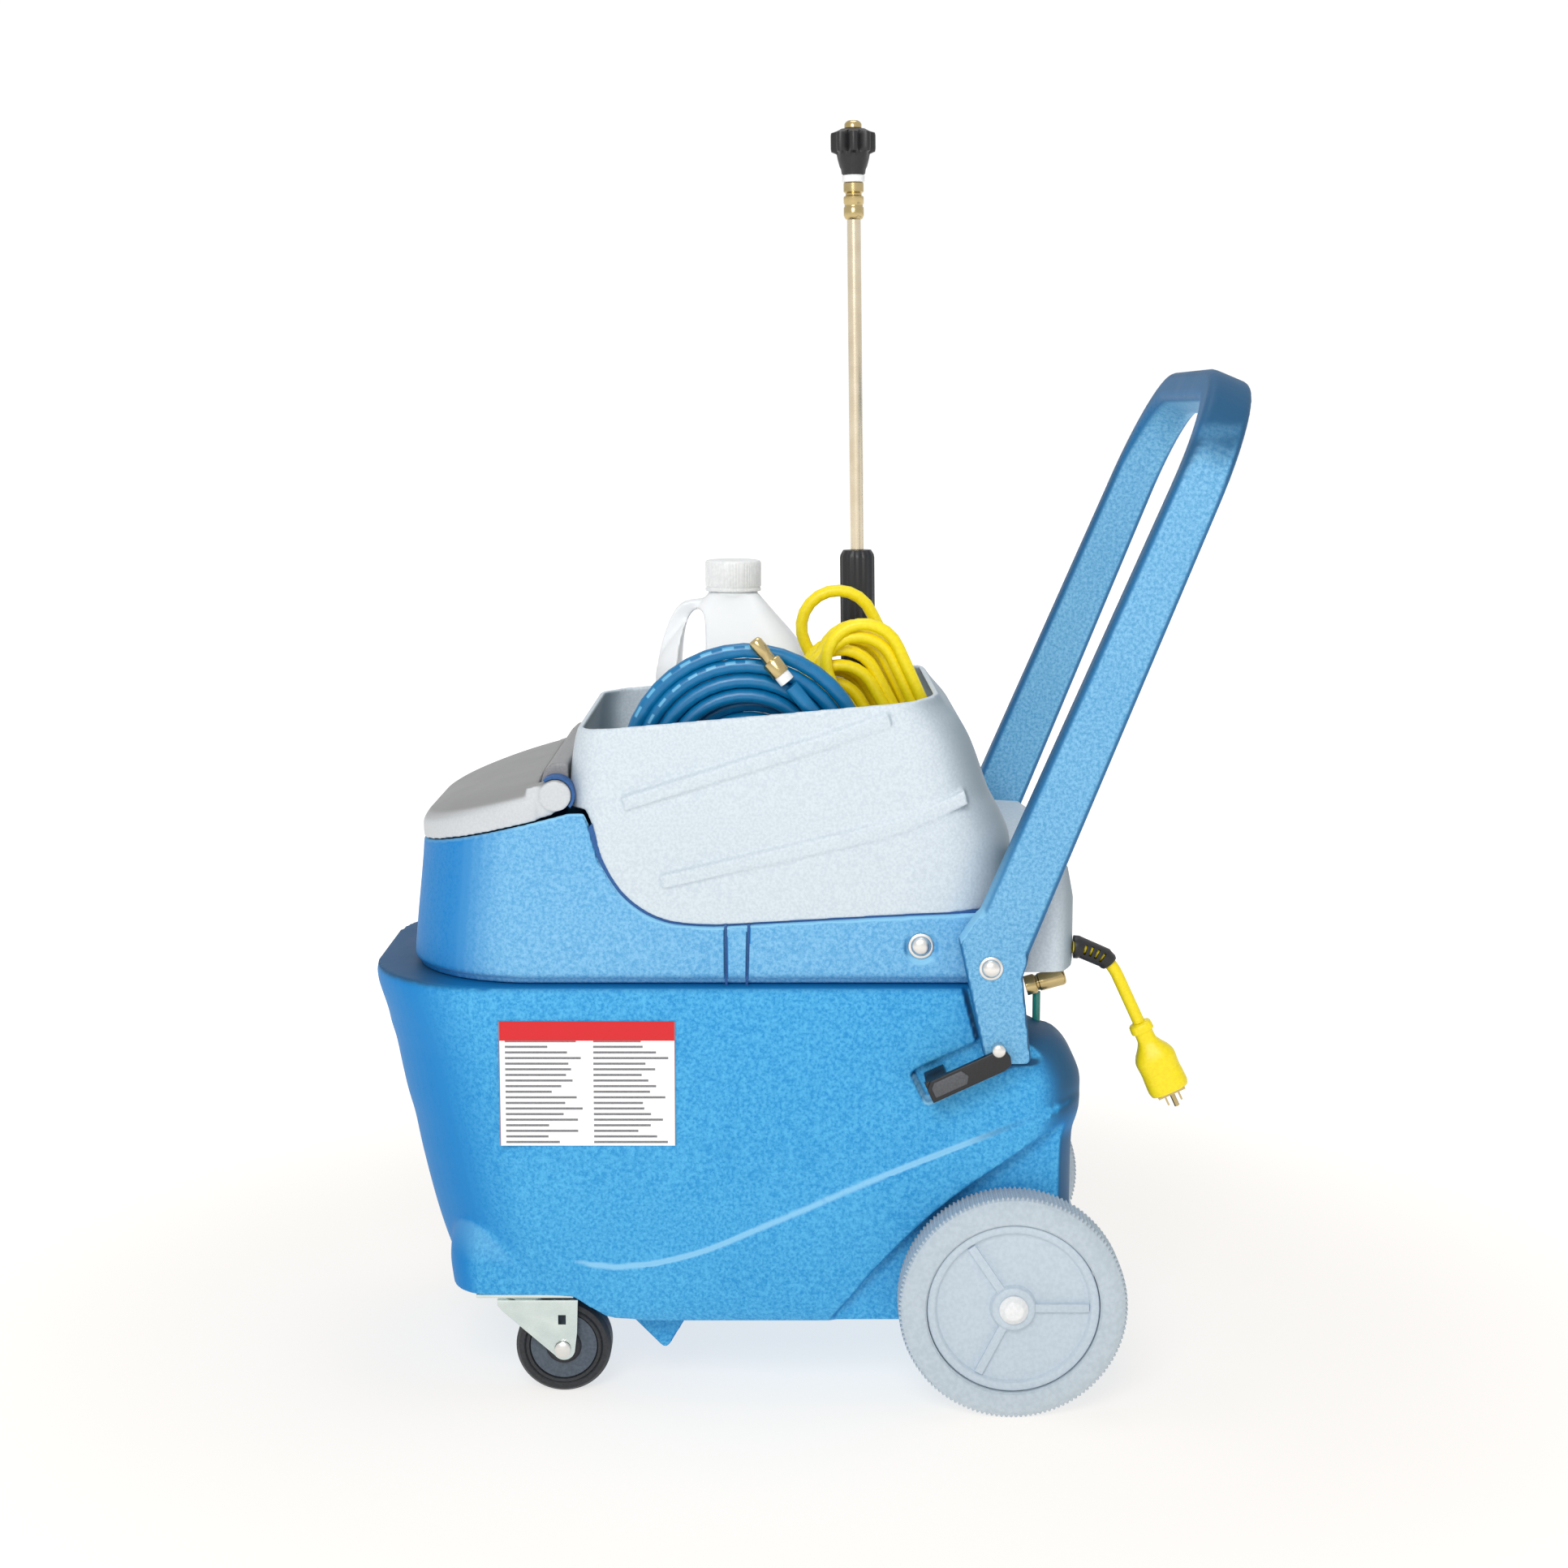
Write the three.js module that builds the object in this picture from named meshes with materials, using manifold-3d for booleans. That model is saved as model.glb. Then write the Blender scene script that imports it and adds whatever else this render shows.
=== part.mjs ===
// Portable carpet cleaner: two stacked rotomoulded tanks, a grey storage bin on top, a folding
// U handle, two large rear wheels and two front casters, with its hose, cord, jug and wand in the bin.
// Millimetres. +X is the rear (handle end), -X the front, +Z up, and the floor is Z = 0.
import * as THREE from 'three';
import { mergeVertices } from 'three/addons/utils/BufferGeometryUtils.js';
import Module from 'manifold-3d';

const wasm = await Module();
wasm.setup();

// ---------------------------------------------------------------- driving dimensions
const CENTRE_X = 17.0;            // middle of the machine's length, measured from the design datum
const GAP = 0.4;                  // clearance between touching pieces
const WALL = 6;                   // wall of the moulded tanks
const BIN_WALL = 5;               // wall of the grey mouldings

const TANK_RIM = 385;             // top deck of the lower tank
const TANK_HALF = 187;            // half width of the lower tank
const CASTER_PAD = 99;            // underside where the casters are bolted
const BELLY = 74;                 // flat underside behind the casters
const LEG_RECESS = 179.5;         // half width where the handle legs lie against the tank

const UPPER_REAR = 203;           // rear face of the upper body and of the bin
const LID_SLOPE = 0.259;          // the lid seam climbs to the rear by this much
const LID_REAR = -189;            // where the lid seam ends
const LID_REAR_Z = 537.6;
const BIN_FLOOR = 456.5;

const WHEEL = { x: 203, z: 101.6, r: 101.6, inner: 178, outer: 222, hub: 77, bore: 8.3 };
const CASTER = { swivelX: -234, trail: 33, y: 142, r: 43.5, z: 43.5, half: 16, forkHalf: 19 };
const PIVOT = { x: 180, z: 408 };
const HANDLE = { lean: 22.6, length: 553, inner: 182, outer: 212, bend: 110, low: 54, high: 40 };
const LATCH = { x: 161, z: 314, tilt: 25, length: 80, height: 19 };
const BOSS = { x: -201, z: 553.5, r: 14 };
const HOUSING = { rear: 259, half: 160 };
const CORD_EXIT = { x: HOUSING.rear + GAP, y: -135, z: 411 };
const CORD_R = 5.5;
const CORD_BEND = { radius: 45, turn: 65 * Math.PI / 180, length: 99, points: 20 };
const WAND = { x: 74, y: 60, z: 458, lean: 0.8 };
const STANDPIPE_X = -222;
const JUG = { x: -49, y: 70, z: BIN_FLOOR + GAP };
const COIL = { x: -32, z: 571.5, outer: 114, inner: 48, y0: -148, y1: -121 };
const HANK = { x: 104, z: 591.5, width: 88, length: 283, tilt: 25, y0: -104, y1: -37 };

// ---------------------------------------------------------------- solids
function solid(geometry) {
  const bare = geometry.clone();
  bare.deleteAttribute('normal');
  bare.deleteAttribute('uv');
  const merged = mergeVertices(bare, 1e-4);
  const vertProperties = new Float32Array(merged.attributes.position.array);
  const triVerts = new Uint32Array(merged.index.array);
  let volume = 0;
  const corner = (i) => new THREE.Vector3().fromArray(vertProperties, 3 * triVerts[i]);
  for (let i = 0; i < triVerts.length; i += 3) {
    volume += corner(i).dot(corner(i + 1).cross(corner(i + 2)));
  }
  if (volume < 0) {
    for (let i = 0; i < triVerts.length; i += 3) {
      [triVerts[i], triVerts[i + 1]] = [triVerts[i + 1], triVerts[i]];
    }
  }
  return new wasm.Manifold(new wasm.Mesh({ numProp: 3, vertProperties, triVerts }));
}

const join = (first, ...rest) => rest.reduce((all, piece) => all.add(piece), first);
const cut = (first, ...rest) => rest.reduce((left, tool) => left.subtract(tool), first);

function geometryOf(piece) {
  const mesh = piece.getMesh();
  const geometry = new THREE.BufferGeometry();
  geometry.setAttribute('position', new THREE.BufferAttribute(mesh.vertProperties, 3));
  geometry.setIndex(new THREE.BufferAttribute(mesh.triVerts, 1));
  geometry.computeVertexNormals();
  return geometry;
}

// An outline of [x, z] points, extruded across the machine from y0 to y1.
function prism(outline, y0, y1) {
  const shape = new THREE.Shape(outline.map(([x, z]) => new THREE.Vector2(x, z)));
  const geometry = new THREE.ExtrudeGeometry(shape, { depth: y1 - y0, bevelEnabled: false });
  return solid(geometry.rotateX(Math.PI / 2).translate(0, y1, 0));
}

function box(x0, x1, y0, y1, z0, z1) {
  const geometry = new THREE.BoxGeometry(x1 - x0, y1 - y0, z1 - z0);
  return solid(geometry.translate((x0 + x1) / 2, (y0 + y1) / 2, (z0 + z1) / 2));
}

// Round bar across the machine.
function barY(x, z, radius, y0, y1, sides = 16) {
  const geometry = new THREE.CylinderGeometry(radius, radius, y1 - y0, sides);
  return solid(geometry.translate(x, (y0 + y1) / 2, z));
}

// A turned piece about the Y axis; the profile is [radius, y] pairs.
function turnedY(profile, sides, x = 0, z = 0) {
  const points = profile.map(([r, y]) => new THREE.Vector2(r, y));
  return solid(new THREE.LatheGeometry(points, sides).translate(x, 0, z));
}

// A turned piece standing up; the profile is [radius, z] pairs.
function turnedZ(profile, sides, x = 0, y = 0) {
  const points = profile.map(([r, z]) => new THREE.Vector2(r, z));
  return solid(new THREE.LatheGeometry(points, sides).rotateX(Math.PI / 2).translate(x, y, 0));
}

// A closed ring profile for a lathe, from its corner points.
const closed = (profile) => [...profile, profile[0]];

// A plan outline with rounded front and rear corners, and the plan it was drawn for.
function plan(front, rear, half, frontRadius, rearRadius) {
  const shape = new THREE.Shape();
  shape.moveTo(front + frontRadius, -half);
  shape.lineTo(rear - rearRadius, -half);
  shape.absarc(rear - rearRadius, -half + rearRadius, rearRadius, -Math.PI / 2, 0);
  shape.absarc(rear - rearRadius, half - rearRadius, rearRadius, 0, Math.PI / 2);
  shape.absarc(front + frontRadius, half - frontRadius, frontRadius, Math.PI / 2, Math.PI);
  shape.absarc(front + frontRadius, -half + frontRadius, frontRadius, Math.PI, 1.5 * Math.PI);
  return { shape, front, rear, half };
}

// A plan outline carried up through sections [z, front, rear, half], as a moulding's taper.
function loft(base, sections, height = () => 0) {
  const levels = sections.length - 1;
  const options = { depth: levels, steps: levels, curveSegments: 2, bevelEnabled: false };
  const geometry = new THREE.ExtrudeGeometry(base.shape, options);
  const position = geometry.attributes.position;
  for (let i = 0; i < position.count; i += 1) {
    const [z, front, rear, half] = sections[Math.round(position.getZ(i))];
    const along = (position.getX(i) - base.front) / (base.rear - base.front);
    const x = front + along * (rear - front);
    position.setXYZ(i, x, position.getY(i) * half / base.half, z + height(x));
  }
  return solid(geometry);
}

const inset = (sections, wall) => sections.map(
  ([z, front, rear, half]) => [z, front + wall, rear - wall, half - wall]);

// Mirror of a solid on the other side of the machine.
const mirrored = (piece) => piece.mirror([0, 1, 0]);

// ---------------------------------------------------------------- the scene graph
const machine = new THREE.Group();
machine.position.x = -CENTRE_X;

const look = (color, roughness, metalness = 0) => ({ color, roughness, metalness });
const BLUE = look(0x4baaeb, 0.5);
const GREY = look(0xd6e0e6, 0.5);
const LID_GREY = look(0xa9a8a4, 0.55);
const WHEEL_GREY = look(0xc3cfd6, 0.6);
const BLACK = look(0x232326, 0.5);
const ZINC = look(0xc8d7d4, 0.3, 1);
const CHROME = look(0xd8d8d8, 0.15, 1);
const BRASS = look(0xc8a564, 0.3, 1);
const YELLOW = look(0xebd714, 0.45);
const HOSE_BLUE = look(0x05508c, 0.4);
const WHITE = look(0xf0f2f2, 0.4);

function add(name, piece, finish) {
  const mesh = new THREE.Mesh(geometryOf(piece), new THREE.MeshStandardMaterial(finish));
  mesh.name = name;
  machine.add(mesh);
  return mesh;
}

// ---------------------------------------------------------------- lower (solution) tank
const tankPlan = plan(-378, 212, TANK_HALF, 128, 55);
const tankSections = [
  [BELLY, -292, 248, 170], [84, -300, 257, 176], [100, -307, 259, 181], [150, -324, 260, 184.5],
  [213, -339, 260, 186], [244, -345, 261, 186.5], [266, -351, 267, TANK_HALF],
  [290, -356, 268, TANK_HALF], [316, -361, 259, TANK_HALF], [326, -364, 252, TANK_HALF],
  [334, -366, 243, TANK_HALF], [340, -367, 225, TANK_HALF], [347, -369, 215, TANK_HALF],
  [378, -377, 212, TANK_HALF], [TANK_RIM, -376, 211, 185.5],
];
const bellyKeep = [
  [-420, 420], [-420, CASTER_PAD], [-190, CASTER_PAD], [-158, 78], [-120, BELLY],
  [300, BELLY], [300, 420],
];
const swoosh = [
  [-237, 146], [-157, 128], [-84, 139], [-12, 169], [61, 201], [133, 231], [233, 270], [300, 284],
];
const wheelArch = [[40, 40], [44, 80], [128, 175], [244, 256], [310, 266], [310, 40]];
const legRecess = [[142, 470], [158, 385], [176, 316], [300, 316], [300, 470]];
// A squarer foot fills the front corners down to the caster pads.
const footPlan = plan(-378, 212, TANK_HALF, 48, 55);
const footSections = [
  [BELLY, -298, 180, 173], [107, -303, 180, 178], [125, -305, 180, 176], [165, -300, 180, 160],
  [190, -280, 180, 140],
];
const sump = [[-155, 82], [-112, 37], [-106, 37], [-79, 82]];
const opening = { front: -284, rear: 194, half: 140 };
// The rear bulge is tall only on its left end; the rest of it stops at a lower shelf.
const shelf = { front: 214, side: -105, top: 262 };

function latchTilted(piece) {
  return piece.rotate([0, -LATCH.tilt, 0]).translate([LATCH.x, 0, LATCH.z]);
}

function buildLowerTank() {
  const shell = loft(tankPlan, tankSections);
  const proud = loft(tankPlan, tankSections.map(([z, front, rear, half]) => [z, front - 3, rear, half + 3]));
  const below = prism([[-420, 40], [-420, 220], ...swoosh, [300, 40]], -200, 200);
  const foot = loft(footPlan, footSections);
  const outside = join(shell, foot, proud.intersect(below)).intersect(prism(bellyKeep, -200, 200));
  const wells = [-1, 1].map((side) => {
    const tools = join(prism(wheelArch, 172, 230), prism(legRecess, LEG_RECESS, 230),
      latchTilted(box(-46, 46, 177, 230, -16, 16)));
    return side > 0 ? tools : mirrored(tools);
  });
  const archInside = wheelArch.map(([x, z]) => [x - WALL, z + WALL]);
  const hollow = cut(
    loft(tankPlan, inset(tankSections, WALL)).intersect(
      prism([[-420, TANK_RIM - WALL], [-420, CASTER_PAD + WALL], [-184, CASTER_PAD + WALL],
        [-154, BELLY + 11], [300, BELLY + WALL], [300, TANK_RIM - WALL]], -200, 200)),
    ...[-1, 1].map((side) => {
      const keep = join(prism(archInside, 166, 230), prism([[134, 480], [150, 385], [168, 310],
        [300, 310], [300, 480]], 173.5, 230), latchTilted(box(-52, 52, 171, 230, -22, 22)));
      return side > 0 ? keep : mirrored(keep);
    }),
    box(WHEEL.x - 17, WHEEL.x + 17, -200, 200, 40, 120),
    box(shelf.front - WALL, 300, shelf.side - WALL, 230, shelf.top - WALL, 420),
  );
  const mouth = box(opening.front, opening.rear, -opening.half, opening.half, 360, 400);
  const axleChannel = box(WHEEL.x - 9, WHEEL.x + 9, -200, 200, 40, WHEEL.z + 9);
  const body = join(outside, prism(sump, -140, 140));
  const aboveShelf = box(shelf.front, 300, shelf.side, 230, shelf.top, 420);
  return cut(body, ...wells, hollow, mouth, axleChannel, aboveShelf);
}
add('lower_tank', buildLowerTank(), BLUE);

// ---------------------------------------------------------------- upper (recovery) body
const lidSeam = (x) => LID_REAR_Z + LID_SLOPE * (x - LID_REAR);
const upperPlan = plan(-341, UPPER_REAR, 178, 118, 30);
const upperSections = [
  [TANK_RIM + GAP, -337, 201, 173.5], [391, -337, 201, 173.5], [392, -341, UPPER_REAR, 178],
  [419, -339, UPPER_REAR, 177], [497, -331.5, UPPER_REAR, 173.5], [545, -329, UPPER_REAR, 172],
];
const coverSeam = [
  [-176, LID_REAR_Z], [-171, 526], [-166, 508], [-160, 491], [-145, 467], [-125, 450],
  [-104, 441], [-83, 438], [-61, 437], [95, 446], [UPPER_REAR, 451],
];
const well = { front: -280, rear: 190, half: 136, deep: 205, shallow: 255, step: -130 };

function buildUpperBody() {
  const keep = prism([[-420, 380], [-420, lidSeam(-420)], [LID_REAR, LID_REAR_Z], ...coverSeam,
    [250, 453], [250, 380]], -200, 200);
  const shell = loft(upperPlan, upperSections).intersect(keep);
  const nest = prism([[well.front, 395], [well.front, well.deep], [well.step, well.deep],
    [well.step, well.shallow], [well.rear, well.shallow], [well.rear, 395]], -well.half, well.half);
  const room = loft(upperPlan, inset(upperSections, WALL)).intersect(box(-400, 400, -200, 200, 394, 600));
  const inner = well.half - WALL;
  const divider = box(-152, -140, -200, 200, 100, 600);
  const wells = cut(join(
    room,
    box(well.front + WALL, -146, -inner, inner, well.deep + WALL, 410),
    box(-146, well.rear - WALL, -inner, inner, well.shallow + WALL, 410)), divider);
  const grooves = [-52.5, -34.5].map((x) => join(
    box(x - 1.5, x + 1.5, 175, 190, 380, 440), box(x - 1.5, x + 1.5, -190, -175, 380, 440)));
  const bolts = [-1, 1].map((side) => {
    const y = (a, b) => (side > 0 ? [a, b] : [-b, -a]);
    return join(barY(PIVOT.x, PIVOT.z, 6.3, ...y(160, 190)), barY(121, 420, 4.4, ...y(160, 190)),
      barY(121, 420, 14, ...y(174.4, 190)));
  });
  return cut(join(shell, nest), wells, ...grooves, ...bolts);
}
add('upper_body', buildUpperBody(), BLUE);

// ---------------------------------------------------------------- lid of the recovery tank
const lidPlan = plan(-331, -217, 170, 110, 3);
const lidTop = [
  [GAP, -331, 170], [14, -331.5, 170.5], [24, -326, 168.5], [29.5, -314, 161], [33.5, -292, 146],
  [36, -258, 106],
];

function buildLid() {
  const outside = loft(lidPlan, lidTop.map(([z, front, half]) => [z, front, -217, half]), lidSeam);
  const under = loft(lidPlan, lidTop.map(
    ([z, front, half]) => [z - (z < 20 ? 1 : BIN_WALL), front + BIN_WALL, -222, half - BIN_WALL]), lidSeam);
  const arm = join(
    barY(BOSS.x, BOSS.z, BOSS.r, 152, 172, 24),
    prism([[-226, 529.5], [-204, 536], [BOSS.x, BOSS.z - BOSS.r], [BOSS.x, BOSS.z + BOSS.r],
      [-226, 560]], 152, 168));
  return join(cut(outside, under), arm, mirrored(arm));
}
add('recovery_tank_lid', buildLid(), LID_GREY);

// ---------------------------------------------------------------- storage bin and cover
const binPlan = plan(-190, UPPER_REAR, 176, 24, 60);
const binSections = [
  [430, -190, UPPER_REAR, 176], [507, -190, UPPER_REAR, 174.5], [534, -190, 193.5, 173.5],
  [551, -190, 184, 173], [566, -189.5, 178.5, 172.5], [597, -186, 167, 171.5],
  [612, -182, 159, 171], [640, -172, 137, 169.5], [700, -160, 120, 168],
];
const ribs = [
  { path: [[-141, 547], [24, 598], [92, 621]], proud: 175.2 },
  { path: [[-108, 478], [24, 508], [96, 526], [134, 541]], proud: 177.4 },
];

function ribOutline(path, width) {
  const lower = path.map(([x, z]) => [x + width * 0.13, z - width / 2]);
  const upper = path.map(([x, z]) => [x - width * 0.13, z + width / 2]).reverse();
  return [...lower, ...upper];
}

function buildBin() {
  const seam = coverSeam.slice(1).map(([x, z]) => [x + GAP, z + 0.6]);
  const keep = prism([[-230, 611], [-230, 541], [-173.5, 541], ...seam, [250, 452], [250, 640],
    [137, 639], [113, 636], [-173, 611]], -200, 200);
  const side = ribs.map(({ path, proud }) => prism(ribOutline(path, 12), 168, proud));
  const outside = join(loft(binPlan, binSections).intersect(keep), ...side, ...side.map(mirrored));
  const inside = loft(binPlan, inset(binSections, BIN_WALL)).intersect(prism([[-230, 690],
    [-230, 547], [-172, 547], [-160, 508], [-153, 493], [-139, 471], [-121, BIN_FLOOR],
    [250, BIN_FLOOR], [250, 690]], -200, 200));
  const lip = prism([[-184, 541], [-214, 541], [-214, 563], [-209, 571], [-201, 575], [-184, 577]],
    -150, 150);
  const bossRoom = barY(BOSS.x, BOSS.z, BOSS.r + 1, 150.6, 190, 24);
  return cut(join(outside, lip), inside, bossRoom, mirrored(bossRoom));
}
add('storage_bin', buildBin(), GREY);

// ---------------------------------------------------------------- rear switch housing
const SWITCH = { z: 448, half: 7, height: 12, pitch: 34, depth: 9 };
const switchY = [-1, 0, 1].map((place) => place * SWITCH.pitch);

function buildHousing() {
  const front = UPPER_REAR + GAP;
  const outline = [[front, 500], [236, 498], [252, 487], [258, 460], [HOUSING.rear, 455],
    [HOUSING.rear, 402], [257, 396], [250, 393], [front, 393]];
  const corners = loft(plan(100, HOUSING.rear, HOUSING.half, 5, 26),
    [[380, 100, HOUSING.rear, HOUSING.half], [520, 100, HOUSING.rear, HOUSING.half]]);
  const pockets = switchY.map((y) => box(HOUSING.rear - SWITCH.depth, 270,
    y - SWITCH.half - 0.8, y + SWITCH.half + 0.8, SWITCH.z - 13.2, SWITCH.z + 13.2));
  const hollow = box(front - 1, HOUSING.rear - 14, -HOUSING.half + 8, HOUSING.half - 8, 399, 480);
  const whole = prism(outline, -HOUSING.half, HOUSING.half).intersect(corners);
  return cut(whole, hollow, ...pockets);
}
add('switch_housing', buildHousing(), GREY);

const switchNames = ['power_switch', 'vacuum_switch', 'pump_switch'];
switchY.forEach((y, i) => {
  const x = HOUSING.rear;
  const rocker = prism([[x - 6, SWITCH.z - 10], [x + 0.6, SWITCH.z - SWITCH.height],
    [x + 2.6, SWITCH.z - SWITCH.height], [x + 1.2, SWITCH.z], [x + 2.6, SWITCH.z + SWITCH.height],
    [x + 0.6, SWITCH.z + SWITCH.height], [x - 6, SWITCH.z + 10]], y - SWITCH.half, y + SWITCH.half);
  add(switchNames[i], rocker, BLACK);
});

// ---------------------------------------------------------------- handle and its bolts
function buildHandle() {
  const { length, inner, outer, bend, low, high, lean } = HANDLE;
  const thick = outer - inner;
  const shape = new THREE.Shape();
  shape.moveTo(outer, 0);
  shape.absarc(outer - bend, length - bend, bend, 0, Math.PI / 2);
  shape.absarc(bend - outer, length - bend, bend, Math.PI / 2, Math.PI);
  shape.lineTo(-outer, 0);
  shape.lineTo(-inner, 0);
  shape.absarc(bend - outer, length - bend, bend - thick, Math.PI, Math.PI / 2, true);
  shape.absarc(outer - bend, length - bend, bend - thick, Math.PI / 2, 0, true);
  shape.lineTo(inner, 0);
  const geometry = new THREE.ExtrudeGeometry(shape, { depth: 1, curveSegments: 5, bevelEnabled: false });
  const position = geometry.attributes.position;
  for (let i = 0; i < position.count; i += 1) {
    const width = THREE.MathUtils.lerp(low, high, position.getY(i) / length);
    position.setZ(i, (position.getZ(i) - 0.5) * width);
  }
  const angle = THREE.MathUtils.degToRad(lean);
  const up = new THREE.Vector3(Math.sin(angle), 0, Math.cos(angle));
  const across = new THREE.Vector3(0, 1, 0);
  const basis = new THREE.Matrix4().makeBasis(across, up, across.clone().cross(up));
  geometry.applyMatrix4(basis.setPosition(PIVOT.x, 0, PIVOT.z));
  const leg = prism([[170, 455], [153, 430], [176, 325], [180, 322], [213, 322], [216, 326],
    [208, 400], [213, 416], [190, 440]], inner, outer);
  const bore = (y0, y1) => barY(PIVOT.x, PIVOT.z, 6.3, y0, y1);
  return cut(join(solid(geometry), leg, mirrored(leg)),
    bore(inner - 20, outer + 20), bore(-outer - 20, -inner + 20));
}
add('handle', buildHandle(), BLUE);

// A dome-headed bolt pointing inwards from the face at y.
function domeBolt(x, z, face, head, shank, reach) {
  return turnedY([[0, face - reach], [shank, face - reach], [shank, face + GAP], [head, face + GAP],
    [head, face + 2], [head * 0.8, face + 4.4], [head * 0.45, face + 5.9], [0, face + 6.4]], 18, x, z);
}
const boltSides = [['left', mirrored], ['right', (piece) => piece]];
for (const [side, place] of boltSides) {
  add(`handle_pivot_bolt_${side}`, place(domeBolt(PIVOT.x, PIVOT.z, HANDLE.outer, 10.5, 5.9, 48)), CHROME);
  add(`body_bolt_${side}`, place(domeBolt(121, 420, 174.4, 11.4, 4, 14)), CHROME);
}

// ---------------------------------------------------------------- draw latches
for (const [side, place] of boltSides) {
  const base = latchTilted(box(-40, -16, 177.4, 211, -8.5, 8.5));
  const lever = latchTilted(join(box(-38, 40, 213, 219.5, -9.5, 9.5),
    box(-38, -20, 211.4, 217, -9.5, 9.5), barY(34, 9, 5, 212.6, 220.8, 12)));
  add(`latch_base_${side}`, place(base), BLACK);
  add(`latch_lever_${side}`, place(lever), BLACK);
}

// ---------------------------------------------------------------- rear wheels
const tyreProfile = closed([
  [WHEEL.hub, 181], [WHEEL.hub, 219], [86, WHEEL.outer], [96, 221], [WHEEL.r, 215],
  [WHEEL.r, 185], [96, 179], [86, WHEEL.inner],
]);
const hubProfile = closed([
  [WHEEL.bore, 180], [WHEEL.bore, 219.5], [20, 219.5], [22, 213], [66, 213],
  [WHEEL.hub - GAP, 218], [WHEEL.hub - GAP, 182], [66, 190], [22, 190], [20, 180],
]);
const spokeAngles = [0, 124, 243];
for (const [side, place] of boltSides) {
  const spokes = spokeAngles.map((angle) => box(18, 66, 212, 216, -4, 4).rotate([0, -angle, 0]));
  const hub = join(turnedY(hubProfile, 24), ...spokes).translate([WHEEL.x, 0, WHEEL.z]);
  add(`wheel_tyre_${side}`, place(turnedY(tyreProfile, 32, WHEEL.x, WHEEL.z)), WHEEL_GREY);
  add(`wheel_hub_${side}`, place(hub), WHEEL_GREY);
  add(`axle_cap_${side}`, place(turnedY([[0, 220], [13, 220], [13, 222.6], [9, 225.2], [0, 226]],
    18, WHEEL.x, WHEEL.z)), WHITE);
}
add('rear_axle', barY(WHEEL.x, WHEEL.z, 8, -219.6, 219.6, 24), ZINC);

// ---------------------------------------------------------------- casters
const casterAxleX = CASTER.swivelX + CASTER.trail;
const casterWheel = closed([
  [4.4, -CASTER.half], [16, -CASTER.half], [19, -11], [32, -11], [41, -14], [CASTER.r, -10],
  [CASTER.r, 10], [41, 14], [32, 11], [19, 11], [16, CASTER.half], [4.4, CASTER.half],
]);
for (const [side, place] of boltSides) {
  const at = (piece) => place(piece.translate([0, CASTER.y, 0]));
  const { swivelX, forkHalf } = CASTER;
  const plate = box(-278, -190, -30, 30, CASTER_PAD - 4, CASTER_PAD - GAP);
  const race = turnedZ([[0, 92.6], [22, 92.6], [25, 95], [0, 95]], 24, swivelX);
  const cheek = (y) => prism([[swivelX - 24, 90], [swivelX - 26, 86], [casterAxleX - 8, 38],
    [casterAxleX - 3, 34.5], [casterAxleX + 4, 34.5], [casterAxleX + 9, 38], [casterAxleX + 12, 44],
    [casterAxleX + 14, 90]], y, y + 2.6);
  const crown = box(swivelX - 26, casterAxleX + 14, -forkHalf - 2.6, forkHalf + 2.6, 88, 90);
  const collar = turnedZ([[0, 89], [17, 89], [20, 92.2], [0, 92.2]], 20, swivelX);
  const wheelRoom = barY(casterAxleX, CASTER.z, CASTER.r + 2.5, -forkHalf, forkHalf, 32);
  const roomAbove = box(casterAxleX - 22, casterAxleX + 40, -forkHalf, forkHalf, 60, 90.6);
  const bore = barY(casterAxleX, CASTER.z, 4.3, -40, 40, 12);
  const fork = cut(join(crown, collar, cheek(forkHalf), cheek(-forkHalf - 2.6)), wheelRoom, roomAbove, bore);
  const bolt = turnedY([[0, -26], [7, -26], [7, -22.2], [4, -22.2], [4, 22.2], [7, 22.2], [7, 26],
    [0, 26]], 12, casterAxleX, CASTER.z);
  add(`caster_plate_${side}`, at(join(plate, race)), ZINC);
  add(`caster_fork_${side}`, at(fork), ZINC);
  add(`caster_wheel_${side}`, at(turnedY(casterWheel, 20, casterAxleX, CASTER.z)), BLACK);
  add(`caster_axle_${side}`, at(bolt), ZINC);
}

// ---------------------------------------------------------------- rear fittings and power cord
const outlet = new THREE.LatheGeometry([[0, 0], [9, 0], [9, 8], [6.5, 10], [6.5, 14], [8, 16],
  [8, 34], [6.5, 37], [0, 37]].map(([r, y]) => new THREE.Vector2(r, y)), 18);
outlet.rotateZ(-Math.PI / 2 + THREE.MathUtils.degToRad(16)).translate(219, -120, 371.5);
add('solution_outlet', solid(outlet), BRASS);
add('sight_tube', turnedZ([[0, 339.9], [4, 339.9], [4, 364], [0, 364]], 12, 230, -112), look(0x3fa79b, 0.2));

// The cord leaves level, droops through one bend and hangs straight: a point at a distance along it.
function cordStep(distance) {
  const turned = Math.min(distance / CORD_BEND.radius, CORD_BEND.turn);
  const straight = Math.max(distance - CORD_BEND.radius * CORD_BEND.turn, 0);
  const x = CORD_BEND.radius * Math.sin(turned) + straight * Math.cos(turned);
  const drop = CORD_BEND.radius * (1 - Math.cos(turned)) + straight * Math.sin(turned);
  return new THREE.Vector3(CORD_EXIT.x + x, CORD_EXIT.y, CORD_EXIT.z - drop);
}
const cordRoute = new THREE.CatmullRomCurve3(Array.from({ length: CORD_BEND.points },
  (_, i) => cordStep(CORD_BEND.length * i / (CORD_BEND.points - 1))));

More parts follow.
